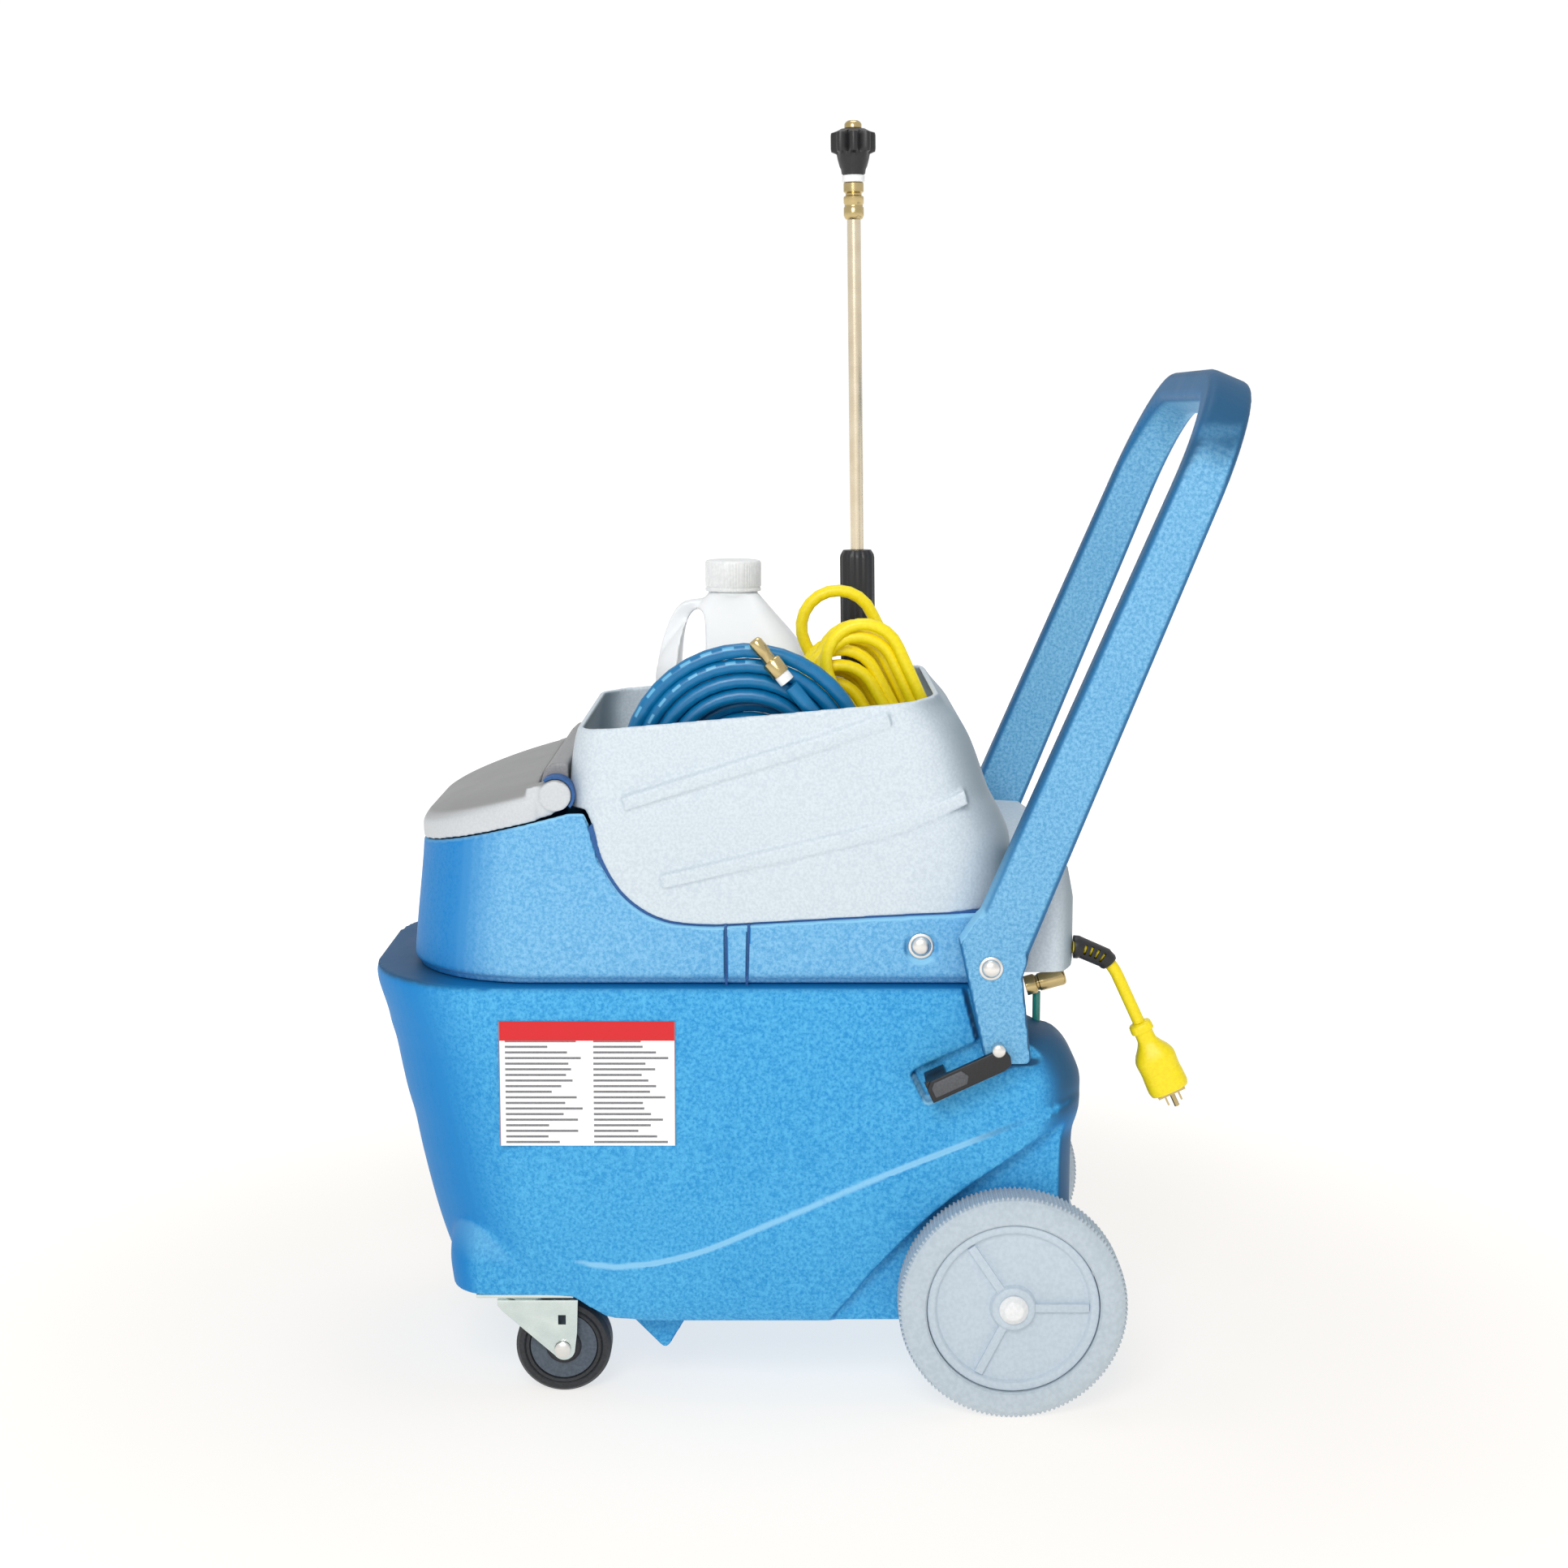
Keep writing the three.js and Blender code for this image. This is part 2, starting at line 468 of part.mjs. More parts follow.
// Wraps a turned profile [radius, distance] along the cord's route.
function alongCord(profile, sides) {
  const geometry = new THREE.LatheGeometry(profile.map(([r, y]) => new THREE.Vector2(r, y)), sides);
  const position = geometry.attributes.position;
  const total = cordRoute.getLength();
  for (let i = 0; i < position.count; i += 1) {
    const share = THREE.MathUtils.clamp(position.getY(i) / total, 0, 1);
    const point = cordRoute.getPointAt(share);
    const ahead = cordRoute.getTangentAt(share);
    const side = new THREE.Vector3(ahead.z, 0, -ahead.x);
    point.addScaledVector(side, position.getX(i));
    position.setXYZ(i, point.x, point.y + position.getZ(i), point.z);
  }
  return solid(geometry);
}
const bootProfile = closed([[5.9, 0.8], [10, 0.8], [10, 5], [9.6, 12], [9.2, 20], [8.6, 28], [7.6, 38],
  [5.9, 38], [5.9, 28], [5.9, 20], [5.9, 12], [5.9, 5]]);
add('strain_relief', alongCord(bootProfile, 16), BLACK);
const cordSection = new THREE.Shape();
cordSection.absarc(0, 0, CORD_R, 0, 2 * Math.PI);
add('power_cord', solid(new THREE.ExtrudeGeometry(cordSection,
  { extrudePath: cordRoute, steps: 12, curveSegments: 5, bevelEnabled: false })), YELLOW);

// The plug hangs on the cord's end, in line with it.
const cordEnd = cordRoute.getPoint(1);
const hang = cordRoute.getTangent(1);
function onPlug(piece) {
  const turn = new THREE.Quaternion().setFromUnitVectors(new THREE.Vector3(0, 0, 1), hang);
  const start = cordEnd.clone().addScaledVector(hang, GAP);
  const m = new THREE.Matrix4().compose(start, turn, new THREE.Vector3(1, 1, 1)).elements;
  return piece.transform([...m]);
}
const plugSections = [
  [0, -8, 8, 8], [14, -9, 9, 9], [24, -17, 17, 15], [34, -19.5, 19.5, 16.5], [46, -17, 17, 15],
  [50, -19, 19, 16.5], [66, -19, 19, 16.5], [68, -17, 17, 15],
];
add('plug_body', onPlug(loft(plan(-20, 20, 20, 9, 9), plugSections)), YELLOW);
const blade = (x, y) => box(x - 0.8, x + 0.8, y - 3.2, y + 3.2, 69.6, 82);
add('plug_prongs', onPlug(join(box(-13, 13, -12, 12, 68 + GAP, 70.4), blade(-6.4, 3), blade(6.4, 3),
  turnedZ([[0, 69.6], [2.4, 69.6], [2.4, 82.5], [0, 83.5]], 10, 0, -8))), BRASS);

// ---------------------------------------------------------------- jug in the bin
function buildJug() {
  const square = plan(-73, 73, 73, 26, 26);
  const rings = [[0, 66], [6, 73], [180, 73], [192, 71.5], [206, 65], [240, 38], [258, 24]];
  const levels = (list, wall) => list.map(([z, r]) => [z, -(r - wall), r - wall, r - wall]);
  const grip = [[-73, 140], [-73, 183], [-68, 212], [-58, 238], [-47, 249], [-22, 251], [-22, 140]];
  const hole = [[-52, 160], [-30, 158], [-25, 198], [-27, 238], [-37, 240], [-46, 226], [-51, 196]];
  const wide = [[-56, 155], [-26, 153], [-20, 198], [-23, 243], [-40, 245], [-50, 228], [-55, 196]];
  const neck = (radius, low, high) => turnedZ([[0, low], [radius, low], [radius, high], [0, high]], 24);
  const body = join(loft(square, levels(rings, 0)), prism(grip, -16, 16), neck(24, 240, 271));
  const interior = join(loft(square, levels([[3, 66], [9, 73], [180, 73], [192, 71.5], [206, 65],
    [240, 38], [252, 29]], 3)), neck(21, 235, 275));
  const gripRoom = prism([[-80, 150], [-80, 260], [-24, 260], [-24, 150]], -19, 19);
  const reserve = join(prism(wide, -80, 80), gripRoom);
  return cut(body, prism(hole, -80, 80), cut(interior, reserve)).translate([JUG.x, JUG.y, JUG.z]);
}
add('jug', buildJug(), WHITE);
add('jug_cap', cut(
  turnedZ([[0, 260], [27, 260], [27, 287], [25.5, 289.5], [0, 289.5]], 28),
  turnedZ([[0, 250], [24.9, 250], [24.9, 286], [0, 286]], 28)).translate([JUG.x, JUG.y, JUG.z]), WHITE);

// ---------------------------------------------------------------- coiled hose and its end fittings
add('hose_coil', turnedY(closed([[COIL.inner, COIL.y0], [COIL.outer - 3, COIL.y0],
  [COIL.outer, COIL.y0 + 3], [COIL.outer, COIL.y1 - 3], [COIL.outer - 3, COIL.y1],
  [COIL.inner, COIL.y1]]), 32, COIL.x, COIL.z), HOSE_BLUE);

// A turned fitting [radius, distance] laid in the XZ plane at y, from a point towards a heading.
function laidFitting(profile, x, y, z, heading) {
  const geometry = new THREE.LatheGeometry(profile.map(([r, d]) => new THREE.Vector2(r, d)), 14);
  geometry.rotateZ(THREE.MathUtils.degToRad(heading) - Math.PI / 2).rotateX(Math.PI / 2);
  return solid(geometry.translate(x, y, z));
}
add('hose_fitting', laidFitting([[0, 0], [7, 0], [7, 14], [8, 15], [8, 27], [5.5, 29], [5.5, 50],
  [4, 52], [0, 52]], 6, -157.4, 649, 129), BRASS);
add('hose_coupling', laidFitting([[0, 0], [6.6, 0], [6.6, 9], [8, 10.5], [8, 26], [0, 26]],
  -92, -127.75, 465.5, 180), BRASS);

// ---------------------------------------------------------------- extension cord hank and its ends
function buildHank() {
  const r = HANK.width / 2;
  const shape = new THREE.Shape();
  const reach = HANK.length / 2 - r;
  shape.absarc(0, reach, r, 0, Math.PI);
  shape.absarc(0, -reach, r, Math.PI, 2 * Math.PI);
  const geometry = new THREE.ExtrudeGeometry(shape, { depth: HANK.y1 - HANK.y0, curveSegments: 10,
    bevelEnabled: false });
  geometry.rotateZ(THREE.MathUtils.degToRad(HANK.tilt)).rotateX(Math.PI / 2);
  return solid(geometry.translate(HANK.x, HANK.y1, HANK.z));
}
add('extension_cord', buildHank(), YELLOW);
add('extension_plug', box(146, 182, -24, 4, BIN_FLOOR + GAP, 492), YELLOW);
add('extension_socket', box(140, 180, 12, 46, BIN_FLOOR + GAP, 492), YELLOW);

// ---------------------------------------------------------------- spray wand
function onWand(piece) {
  return piece.rotate([0, -WAND.lean, 0]).translate([WAND.x, WAND.y, WAND.z]);
}
const wandTurned = (profile, sides = 20) => onWand(turnedZ(profile, sides));
const valve = join(turnedZ([[0, 0], [9, 0], [9, 26], [14, 30], [14, 178], [0, 178]], 16),
  box(8, 26, -5, 5, 112, 126));
add('wand_valve', onWand(cut(valve, box(9, 27, -3, 3, 110, 119.5))), BLACK);
add('wand_trigger', onWand(join(box(20, 24, -2.6, 2.6, 52, 118),
  box(12, 24, -2.6, 2.6, 112.6, 117.6))), BLACK);
add('wand_grip', wandTurned([[0, 178.4], [14, 178.4], [16.5, 182], [16.5, 294], [13, 298.6],
  [0, 298.6]]), BLACK);
add('wand_tube', wandTurned([[0, 299], [6.4, 299], [6.4, 607], [0, 607]], 14), BRASS);
add('wand_coupling', wandTurned([[0, 607.4], [8, 607.4], [9.4, 611], [9.4, 628], [7.5, 630], [9.4, 632],
  [9.4, 641], [0, 641]], 12), BRASS);
add('wand_collar', wandTurned([[0, 641.4], [10.5, 641.4], [10.5, 648], [0, 648]], 18), WHITE);
const wings = [0, 45, 90, 135].map((turn) => box(-21, 21, -3.5, 3.5, 668, 687).rotate([0, 0, turn]));
add('wand_nozzle', onWand(join(turnedZ([[0, 648.4], [11, 648.4], [13, 656], [16.5, 668], [16.5, 684],
  [12, 690], [0, 690]], 20), ...wings)), BLACK);
add('wand_tip', wandTurned([[0, 690.4], [8, 690.4], [8, 695], [6, 697.5], [0, 697.5]], 14), BRASS);

// ---------------------------------------------------------------- inside the tanks
add('vacuum_motor', turnedZ([[0, 262], [60, 262], [70, 268], [70, 312], [58, 318], [58, 400], [44, 410],
  [0, 410]], 24, 70, 40), BLACK);
add('solution_pump', join(box(-70, 0, -110, -60, 262, 330), barXPump()), BLACK);
function barXPump() {
  const geometry = new THREE.CylinderGeometry(24, 24, 76, 20).rotateZ(Math.PI / 2);
  return solid(geometry.translate(36, -85, 300));
}
add('standpipe', cut(
  turnedZ([[0, 212], [30, 212], [30, 216], [19, 218], [19, 500], [0, 500]], 20, STANDPIPE_X, 0),
  turnedZ([[0, 230], [16, 230], [16, 520], [0, 520]], 20, STANDPIPE_X, 0)), WHITE);
add('shutoff_float', turnedZ(closed([[20.5, 218.4], [36, 221], [42, 232], [36, 243], [20.5, 248.4]]),
  20, STANDPIPE_X, 0), look(0xe08030, 0.5));

// ---------------------------------------------------------------- blank label on the near side
add('side_label', box(-252, -96, -TANK_HALF - 1, -TANK_HALF - GAP, 242, 355), look(0xf4f4f4, 0.4));

export default machine;
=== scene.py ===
"""Looks of a portable carpet cleaner: moulded tanks, bin, folding handle, wheels and stowed kit.

Places are in the CAD's design millimetres (x to the rear, y across, z up) and become metres in the
row frame when a mesh is made. Pieces that look the same on both sides are made at +y and mirrored.
"""
from math import copysign, cos, hypot, pi, radians, sin

import bmesh
import bpy
import numpy as np
from mathutils import Matrix, Vector


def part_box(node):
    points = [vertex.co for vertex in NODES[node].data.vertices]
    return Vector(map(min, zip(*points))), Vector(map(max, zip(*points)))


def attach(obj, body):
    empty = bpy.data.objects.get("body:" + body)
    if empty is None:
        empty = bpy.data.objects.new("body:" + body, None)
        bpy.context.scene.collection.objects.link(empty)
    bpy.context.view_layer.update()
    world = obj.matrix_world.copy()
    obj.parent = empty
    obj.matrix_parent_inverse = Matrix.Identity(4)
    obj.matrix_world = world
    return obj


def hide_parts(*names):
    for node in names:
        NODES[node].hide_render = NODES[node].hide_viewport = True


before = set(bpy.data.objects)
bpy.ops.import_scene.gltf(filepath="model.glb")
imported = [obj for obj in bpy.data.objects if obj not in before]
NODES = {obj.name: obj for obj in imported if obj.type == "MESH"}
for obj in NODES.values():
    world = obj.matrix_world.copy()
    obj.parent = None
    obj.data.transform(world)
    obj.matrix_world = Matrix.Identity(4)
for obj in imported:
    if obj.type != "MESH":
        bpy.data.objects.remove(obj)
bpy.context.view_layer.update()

# ---- places shared with the CAD
MM = 0.001
WIDE = 200.0
CENTRE_X = 17.0
TANK_RIM = 385.0
TANK_HALF = 187.0
CASTER_PAD = 99.0
BELLY = 74.0
LEG_RECESS = 179.5
UPPER_REAR = 203.0
LID_SLOPE, LID_REAR, LID_REAR_Z = 0.259, -189.0, 537.6
BIN_FLOOR = 456.5
GAP = 0.4
WALL, BIN_WALL = 6.0, 5.0
WHEEL_X, WHEEL_Z, WHEEL_R = 203.0, 101.6, 101.6
CASTER_X, CASTER_TRAIL, CASTER_Y, CASTER_R = -234.0, 33.0, 142.0, 43.5
PIVOT_X, PIVOT_Z = 180.0, 408.0
BODY_BOLT_X, BODY_BOLT_Z = 121.0, 420.0
LATCH_X, LATCH_Z, LATCH_TILT = 161.0, 314.0, radians(25)
BOSS_X, BOSS_Z, BOSS_R = -201.0, 553.5, 14.0
HOUSING_REAR, HOUSING_HALF = 259.0, 160.0
CORD_X, CORD_Y, CORD_Z, CORD_R = HOUSING_REAR + GAP, -135.0, 411.0, 5.5
WAND_X, WAND_Y, WAND_Z, WAND_LEAN = 74.0, 60.0, 458.0, radians(0.8)
JUG_X, JUG_Y, JUG_Z = -49.0, 70.0, BIN_FLOOR + GAP
COIL_X, COIL_Z, HOSE_R = -32.0, 571.5, 6.5
HANK_X, HANK_Z, HANK_TILT = 104.0, 591.5, radians(25)


def row(p):
    """A point in the CAD's millimetres as metres in the row frame."""
    return Vector(((p[0] - CENTRE_X) * MM, p[1] * MM, p[2] * MM))


def added(name, data):
    """A new object in the scene that holds a mesh, curve, light or camera."""
    obj = bpy.data.objects.new(name, data)
    bpy.context.scene.collection.objects.link(obj)
    return obj


# ---- camera
LENS, SENSOR, CAMERA_PLACE, CAMERA_TILT = 57.77, 36.0, (-0.017, -2.352, 0.885), radians(81.63)


def make_camera():
    data = bpy.data.cameras.new("camera")
    data.sensor_width = SENSOR
    data.lens = LENS
    data.clip_end = 50.0
    camera = added("camera", data)
    camera.location = CAMERA_PLACE
    camera.rotation_euler = (CAMERA_TILT, 0.0, 0.0)
    bpy.context.scene.camera = camera


make_camera()


# ---- materials
def linear(colour):
    """An sRGB colour, 0 to 255, as linear light. A node's output stays as it is."""
    if isinstance(colour, bpy.types.NodeSocket):
        return colour
    shares = [c / 255 for c in colour]
    return (*(c / 12.92 if c <= 0.04045 else ((c + 0.055) / 1.055) ** 2.4 for c in shares), 1.0)


class Tree:
    """A node tree, with short names for the nodes used here."""

    def __init__(self, tree):
        self.tree = tree

    def add(self, kind, inputs, **settings):
        """A new node with plain values or other nodes' outputs on its inputs."""
        node = self.tree.nodes.new(kind)
        for key, value in settings.items():
            setattr(node, key, value)
        for key, value in inputs.items():
            self.put(value, node.inputs[key])
        return node

    def put(self, value, socket):
        if isinstance(value, bpy.types.NodeSocket):
            self.tree.links.new(value, socket)
        else:
            socket.default_value = value

    def math(self, operation, a, b=0.0):
        return self.add("ShaderNodeMath", {0: a, 1: b}, operation=operation).outputs[0]

    def times(self, a, b):
        return self.math("MULTIPLY", a, b)

    def rest(self, share):
        """What a share leaves of 1."""
        return self.math("SUBTRACT", 1.0, share)

    def place(self):
        return self.add("ShaderNodeTexCoord", {}).outputs["Object"]

    def facing(self):
        """How far the surface faces to the rear, across and up, each from -1 to 1."""
        return self.xyz(self.add("ShaderNodeTexCoord", {}).outputs["Normal"])

    def xyz(self, vector=None):
        return self.add("ShaderNodeSeparateXYZ", {0: vector or self.place()}).outputs

    def noise(self, scale, detail=3.0, rough=0.5, vector=None):
        inputs = {"Scale": scale, "Detail": detail, "Roughness": rough, "Vector": vector or self.place()}
        return self.add("ShaderNodeTexNoise", inputs).outputs[0]

    def ramp(self, value, low, high):
        """0 below low and 1 above high, smoothly."""
        inputs = {"Value": value, "From Min": low, "From Max": high}
        return self.add("ShaderNodeMapRange", inputs, interpolation_type="SMOOTHSTEP").outputs[0]

    def scaled(self, value, low, high):
        """A 0 to 1 value spread over low to high."""
        return self.add("ShaderNodeMapRange", {"Value": value, "To Min": low, "To Max": high}).outputs[0]

    def mix(self, share, a, b):
        """From colour a to colour b."""
        inputs = {0: share, 6: linear(a), 7: linear(b)}
        return self.add("ShaderNodeMix", inputs, data_type="RGBA").outputs[2]


class Look(Tree):
    """A material under construction, with the name of its slot."""

    def __init__(self, name, slot=None):
        self.material = bpy.data.materials.new(f"{name}_look")
        self.material["slot"] = slot or name
        self.material.use_nodes = True
        super().__init__(self.material.node_tree)

    def shade(self, socket, value):
        """Gives the shader's socket a plain value or another node's output."""
        self.put(value, self.tree.nodes["Principled BSDF"].inputs[socket])

    def coat(self, colour, scale, smooth, rough):
        """A colour, and a roughness that wanders between two values in patches of a noise scale."""
        self.shade("Base Color", colour)
        self.shade("Roughness", self.scaled(self.noise(scale), smooth, rough))

    def bump(self, height, distance, strength):
        inputs = {"Distance": distance, "Strength": strength, "Height": height}
        self.shade("Normal", self.add("ShaderNodeBump", inputs).outputs[0])


def moulded(name, light, dark, speck=420.0, rough=(0.42, 0.56), grain=0.00012, top=None, end=None, slot=None):
    """Moulded plastic: fine speckle between two tones, mottled gloss and a faint orange-peel grain. An end
    colour is painted shade on rear faces, a top colour is painted shade on upward faces.
    """
    n = Look(name, slot)
    speckle = n.ramp(n.noise(speck, 2.0), 0.3, 0.7)
    share = n.math("ADD", n.times(speckle, 0.7), n.times(n.noise(9.0, 2.0), 0.3))
    colour = n.mix(share, dark, light)
    # Painted shade: rear faces turn to the end colour.
    if end:
        colour = n.mix(n.ramp(n.facing()[0], 0.3, 0.95), colour, end)
    # Painted shade: upward faces turn to the top colour.
    if top:
        colour = n.mix(n.ramp(n.facing()[2], 0.2, 0.8), colour, top)
    n.coat(colour, 30.0, *rough)
    n.bump(n.noise(speck * 1.5, 2.0), grain, 0.6)
    return n.material


def metal(name, colour, dull, rough=(0.18, 0.34), slot=None):
    """Plated or turned metal with fine drawn marks."""
    n = Look(name, slot)
    drawn = n.add("ShaderNodeMapping", {"Vector": n.place(), "Scale": (1, 1, 30)}).outputs[0]
    marks = n.noise(120.0, 2.0, vector=drawn)
    n.shade("Base Color", n.mix(n.noise(60.0), dull, colour))
    n.shade("Roughness", n.scaled(marks, *rough))
    n.shade("Metallic", 1.0)
    n.bump(marks, 0.00003, 0.4)
    return n.material


def blue_moulding(name, light, dark, end, painted_highlight, painted_shade_from):
    """Speckled blue shell with painted light: painted shade in deeper blue on its ends and in slate on its
    rear faces, painted highlights in pale blue on low upward faces, and painted shade in slate on tops above
    a height in metres.
    """
    n = Look(name, "blue_shell")
    fine = n.ramp(n.noise(330.0, 3.0, 0.7), 0.3, 0.7)
    share = n.math("ADD", n.times(fine, 0.75), n.times(n.noise(9.0, 2.0), 0.25))
    rear, _, up = n.facing()
    height = n.xyz()[2]
    # Painted shade: faces towards the front or the rear turn deeper blue, as where the surface turns away
    # from the light.
    ends = n.times(n.ramp(n.math("ABSOLUTE", rear), 0.2, 0.7), n.scaled(fine, 0.8, 1.0))
    colour = n.mix(ends, n.mix(share, dark, light), end)
    # Painted shade: rear faces turn slate, unless they face up or steeply down.
    colour = n.mix(n.times(n.ramp(rear, 0.25, 0.7), n.ramp(up, -0.5, 0.1)), colour, PAINTED_SHADE_SLATE)
    high = n.ramp(height, painted_shade_from, painted_shade_from + 0.02)
    stern = n.ramp(n.xyz()[0], 0.14, 0.2)
    bulge_top = n.ramp(height, 0.29, 0.31)
    # Painted highlight: low upward faces, such as the ledge along the side, turn pale, fainter at the front;
    # at the stern only the bulge top is painted, and there in slate, as painted shade.
    low = n.times(n.ramp(up, 0.15, 0.5), n.rest(high))
    low = n.times(low, n.scaled(n.ramp(n.xyz()[0], -0.27, -0.24), 0.3, 1.0))
    low = n.times(low, n.math("MAXIMUM", n.rest(stern), bulge_top))
    colour = n.mix(low, colour, n.mix(stern, painted_highlight, PAINTED_SHADE_SLATE))
    # Painted shade: upward faces above that height turn a darker blue, and slate towards the front and rear
    # ends.
    along = n.math("ABSOLUTE", n.xyz()[0])
    tops = n.mix(n.ramp(along, 0.3, 0.35), PAINTED_SHADE_RIM_BLUE, PAINTED_SHADE_SLATE)
    colour = n.mix(n.times(n.ramp(up, 0.1, 0.6), high), colour, tops)
    n.coat(colour, 30.0, 0.46, 0.6)
    n.shade("Specular IOR Level", 0.2)
    n.bump(n.noise(600.0, 2.0), 0.00012, 0.6)
    return n.material


# Painted light for the blue mouldings: slate and rim blue are painted shade on tops and rear faces, deep blue
# is painted shade on the ends, and pale blue is a painted highlight on low upward faces. The handle's own
# deeper blue is painted shade on its ends too.
PAINTED_SHADE_SLATE, PAINTED_SHADE_RIM_BLUE = (38, 88, 126), (6, 110, 170)
PAINTED_SHADE_DEEP, PAINTED_HIGHLIGHT_PALE = (0, 126, 200), (140, 204, 240)
BLUE = blue_moulding("blue_tank", (94, 188, 236), (28, 136, 202), PAINTED_SHADE_DEEP, PAINTED_HIGHLIGHT_PALE, 0.35)
BLUE_UPPER = blue_moulding("blue_upper", (138, 198, 236), (78, 156, 208), PAINTED_SHADE_DEEP, PAINTED_HIGHLIGHT_PALE, 2.0)
BLUE_HANDLE = blue_moulding("blue_handle", (138, 196, 232), (74, 148, 196), (20, 104, 160), PAINTED_HIGHLIGHT_PALE, 0.86)
# Painted shade: the bin's and housing's grey darkens on rear faces, and the lid's grey darkens on upward
# faces.
GREY = moulded("grey_shell", (214, 224, 231), (194, 206, 215), end=(136, 152, 162))
LID = moulded("lid_shell", (206, 210, 213), (196, 200, 204), speck=500, top=(146, 146, 146))
# Painted shade: a darker copy of the bin's grey for the front ridge, whose face is in shade.
RIDGE_SHADE_GREY = moulded("ridge_shade_grey", (150, 150, 152), (132, 132, 134), speck=500, slot="grey_shell")
WHEEL_GREY = moulded("wheel_plastic", (200, 213, 224), (188, 202, 213), speck=300)
TYRE_GREY = moulded("wheel_tyre", (196, 208, 217), (182, 195, 204), speck=260, rough=(0.6, 0.75))
BLACK = moulded("black_plastic", (28, 28, 31), (18, 18, 21), speck=600, rough=(0.35, 0.5))
PANEL = moulded("latch_panel", (86, 88, 92), (70, 72, 76), speck=600, slot="black_plastic")
WHITE = moulded("white_plastic", (246, 247, 247), (232, 234, 235), speck=300, rough=(0.28, 0.4))
CASTER_BLACK = moulded("caster_rubber", (44, 47, 52), (28, 30, 34), speck=400, rough=(0.45, 0.6))
CASTER_HUB = moulded("caster_hub", (84, 96, 108), (66, 76, 88), speck=400, slot="caster_rubber")
# Painted shade: dark blue for strips set in seams and grooves, where the real shell has only a shadow gap.
SHADE_BLUE = moulded("blue_seam_shade", (30, 92, 156), (22, 76, 136), speck=500, slot="blue_shell")
YELLOW = moulded("yellow_cord", (252, 232, 14), (244, 218, 6), speck=350, rough=(0.34, 0.46),
                 grain=0.00005)
FLOAT = moulded("float_plastic", (224, 140, 60), (206, 120, 44), speck=300)
ZINC = metal("zinc_steel", (226, 236, 232), (198, 210, 208))
CHROME = metal("chrome_bolts", (236, 234, 230), (210, 208, 204), rough=(0.26, 0.4))
BRASS = metal("brass", (206, 188, 140), (170, 148, 100), rough=(0.16, 0.32))
ROD = metal("wand_rod", (232, 220, 196), (206, 190, 162), rough=(0.2, 0.34), slot="brass")


def jug_plastic():
    """Thin milky polyethylene: light passes through it softly."""
    n = Look("jug_plastic")
    n.coat(n.mix(n.noise(25.0), (248, 250, 252), (238, 242, 246)), 40.0, 0.32, 0.46)
    n.shade("Subsurface Weight", 0.5)
    n.shade("Subsurface Radius", (0.02, 0.02, 0.02))
    n.bump(n.noise(60.0), 0.0004, 0.5)
    return n.material


def sight_plastic():
    n = Look("sight_tube")
    n.coat(n.mix(n.noise(80.0), (60, 178, 164), (40, 140, 132)), 90.0, 0.15, 0.3)
    n.shade("Transmission Weight", 0.35)
    return n.material


def hose_jacket():
    """Blue jacket with light printed dashes along the outer turns, at the coil's upper front."""
    n = Look("hose_jacket")
    x, y, z = n.xyz()
    centre = row((COIL_X, 0, COIL_Z))
    dx = n.math("SUBTRACT", x, centre.x)
    dz = n.math("SUBTRACT", z, centre.z)
    angle = n.math("ARCTAN2", dz, dx)
    radius = n.math("SQRT", n.math("ADD", n.times(dx, dx), n.times(dz, dz)))
    dash = n.math("PINGPONG", n.times(angle, 11.0), 1.0)
    dash = n.ramp(dash, 0.42, 0.55)
    ring = n.math("PINGPONG", n.math("SUBTRACT", radius, 0.0975), 0.0065)
    line = n.rest(n.ramp(ring, 0.0008, 0.0016))
    front = n.math("LESS_THAN", y, -0.1435)
    upper = n.times(n.ramp(angle, 1.45, 1.6), n.ramp(radius, 0.09, 0.092))
    share = n.times(n.times(dash, line), n.times(front, upper))
    base = n.mix(n.noise(220.0), (0, 122, 176), (0, 100, 152))
    n.coat(n.mix(share, base, (100, 176, 216)), 90.0, 0.24, 0.4)
    n.bump(n.noise(500.0), 0.00005, 0.5)
    return n.material


BAND_HEIGHT, BAR_PITCH = 0.0175, 0.0051


def label_film():
    """White film with a red band and rows of grey bars of uneven length, in two columns."""
    n = Look("label_film")
    low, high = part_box("side_label")
    x, _, z = n.xyz()
    along = n.math("DIVIDE", n.math("SUBTRACT", x, low[0]), high[0] - low[0])
    down = n.math("SUBTRACT", high[2], z)
    band = n.math("LESS_THAN", down, BAND_HEIGHT)
    line = n.math("DIVIDE", down, BAR_PITCH)
    bar = n.math("LESS_THAN", n.math("ABSOLUTE", n.math("SUBTRACT", n.math("FRACT", line), 0.5)), 0.2)
    column = n.math("FRACT", n.times(along, 2.0))
    side = n.math("FLOOR", n.times(along, 2.0))
    row_number = n.math("ADD", n.math("FLOOR", line), n.times(side, 37.0))
    white = n.add("ShaderNodeTexWhiteNoise", {"W": row_number}, noise_dimensions="1D")
    end = n.scaled(white.outputs["Value"], 0.55, 0.96)
    inside = n.times(n.math("GREATER_THAN", column, 0.07), n.math("LESS_THAN", column, end))
    ink = n.times(n.times(bar, inside), n.scaled(n.noise(900.0, 2.0), 0.75, 1.0))
    edge = n.math("LESS_THAN", n.math("ABSOLUTE", n.math("SUBTRACT", along, 0.5)), 0.495)
    paper = n.mix(ink, (250, 250, 250), (84, 86, 92))
    paper = n.mix(band, paper, (214, 8, 24))
    n.coat(n.mix(edge, (150, 120, 130), paper), 60.0, 0.3, 0.4)
    return n.material


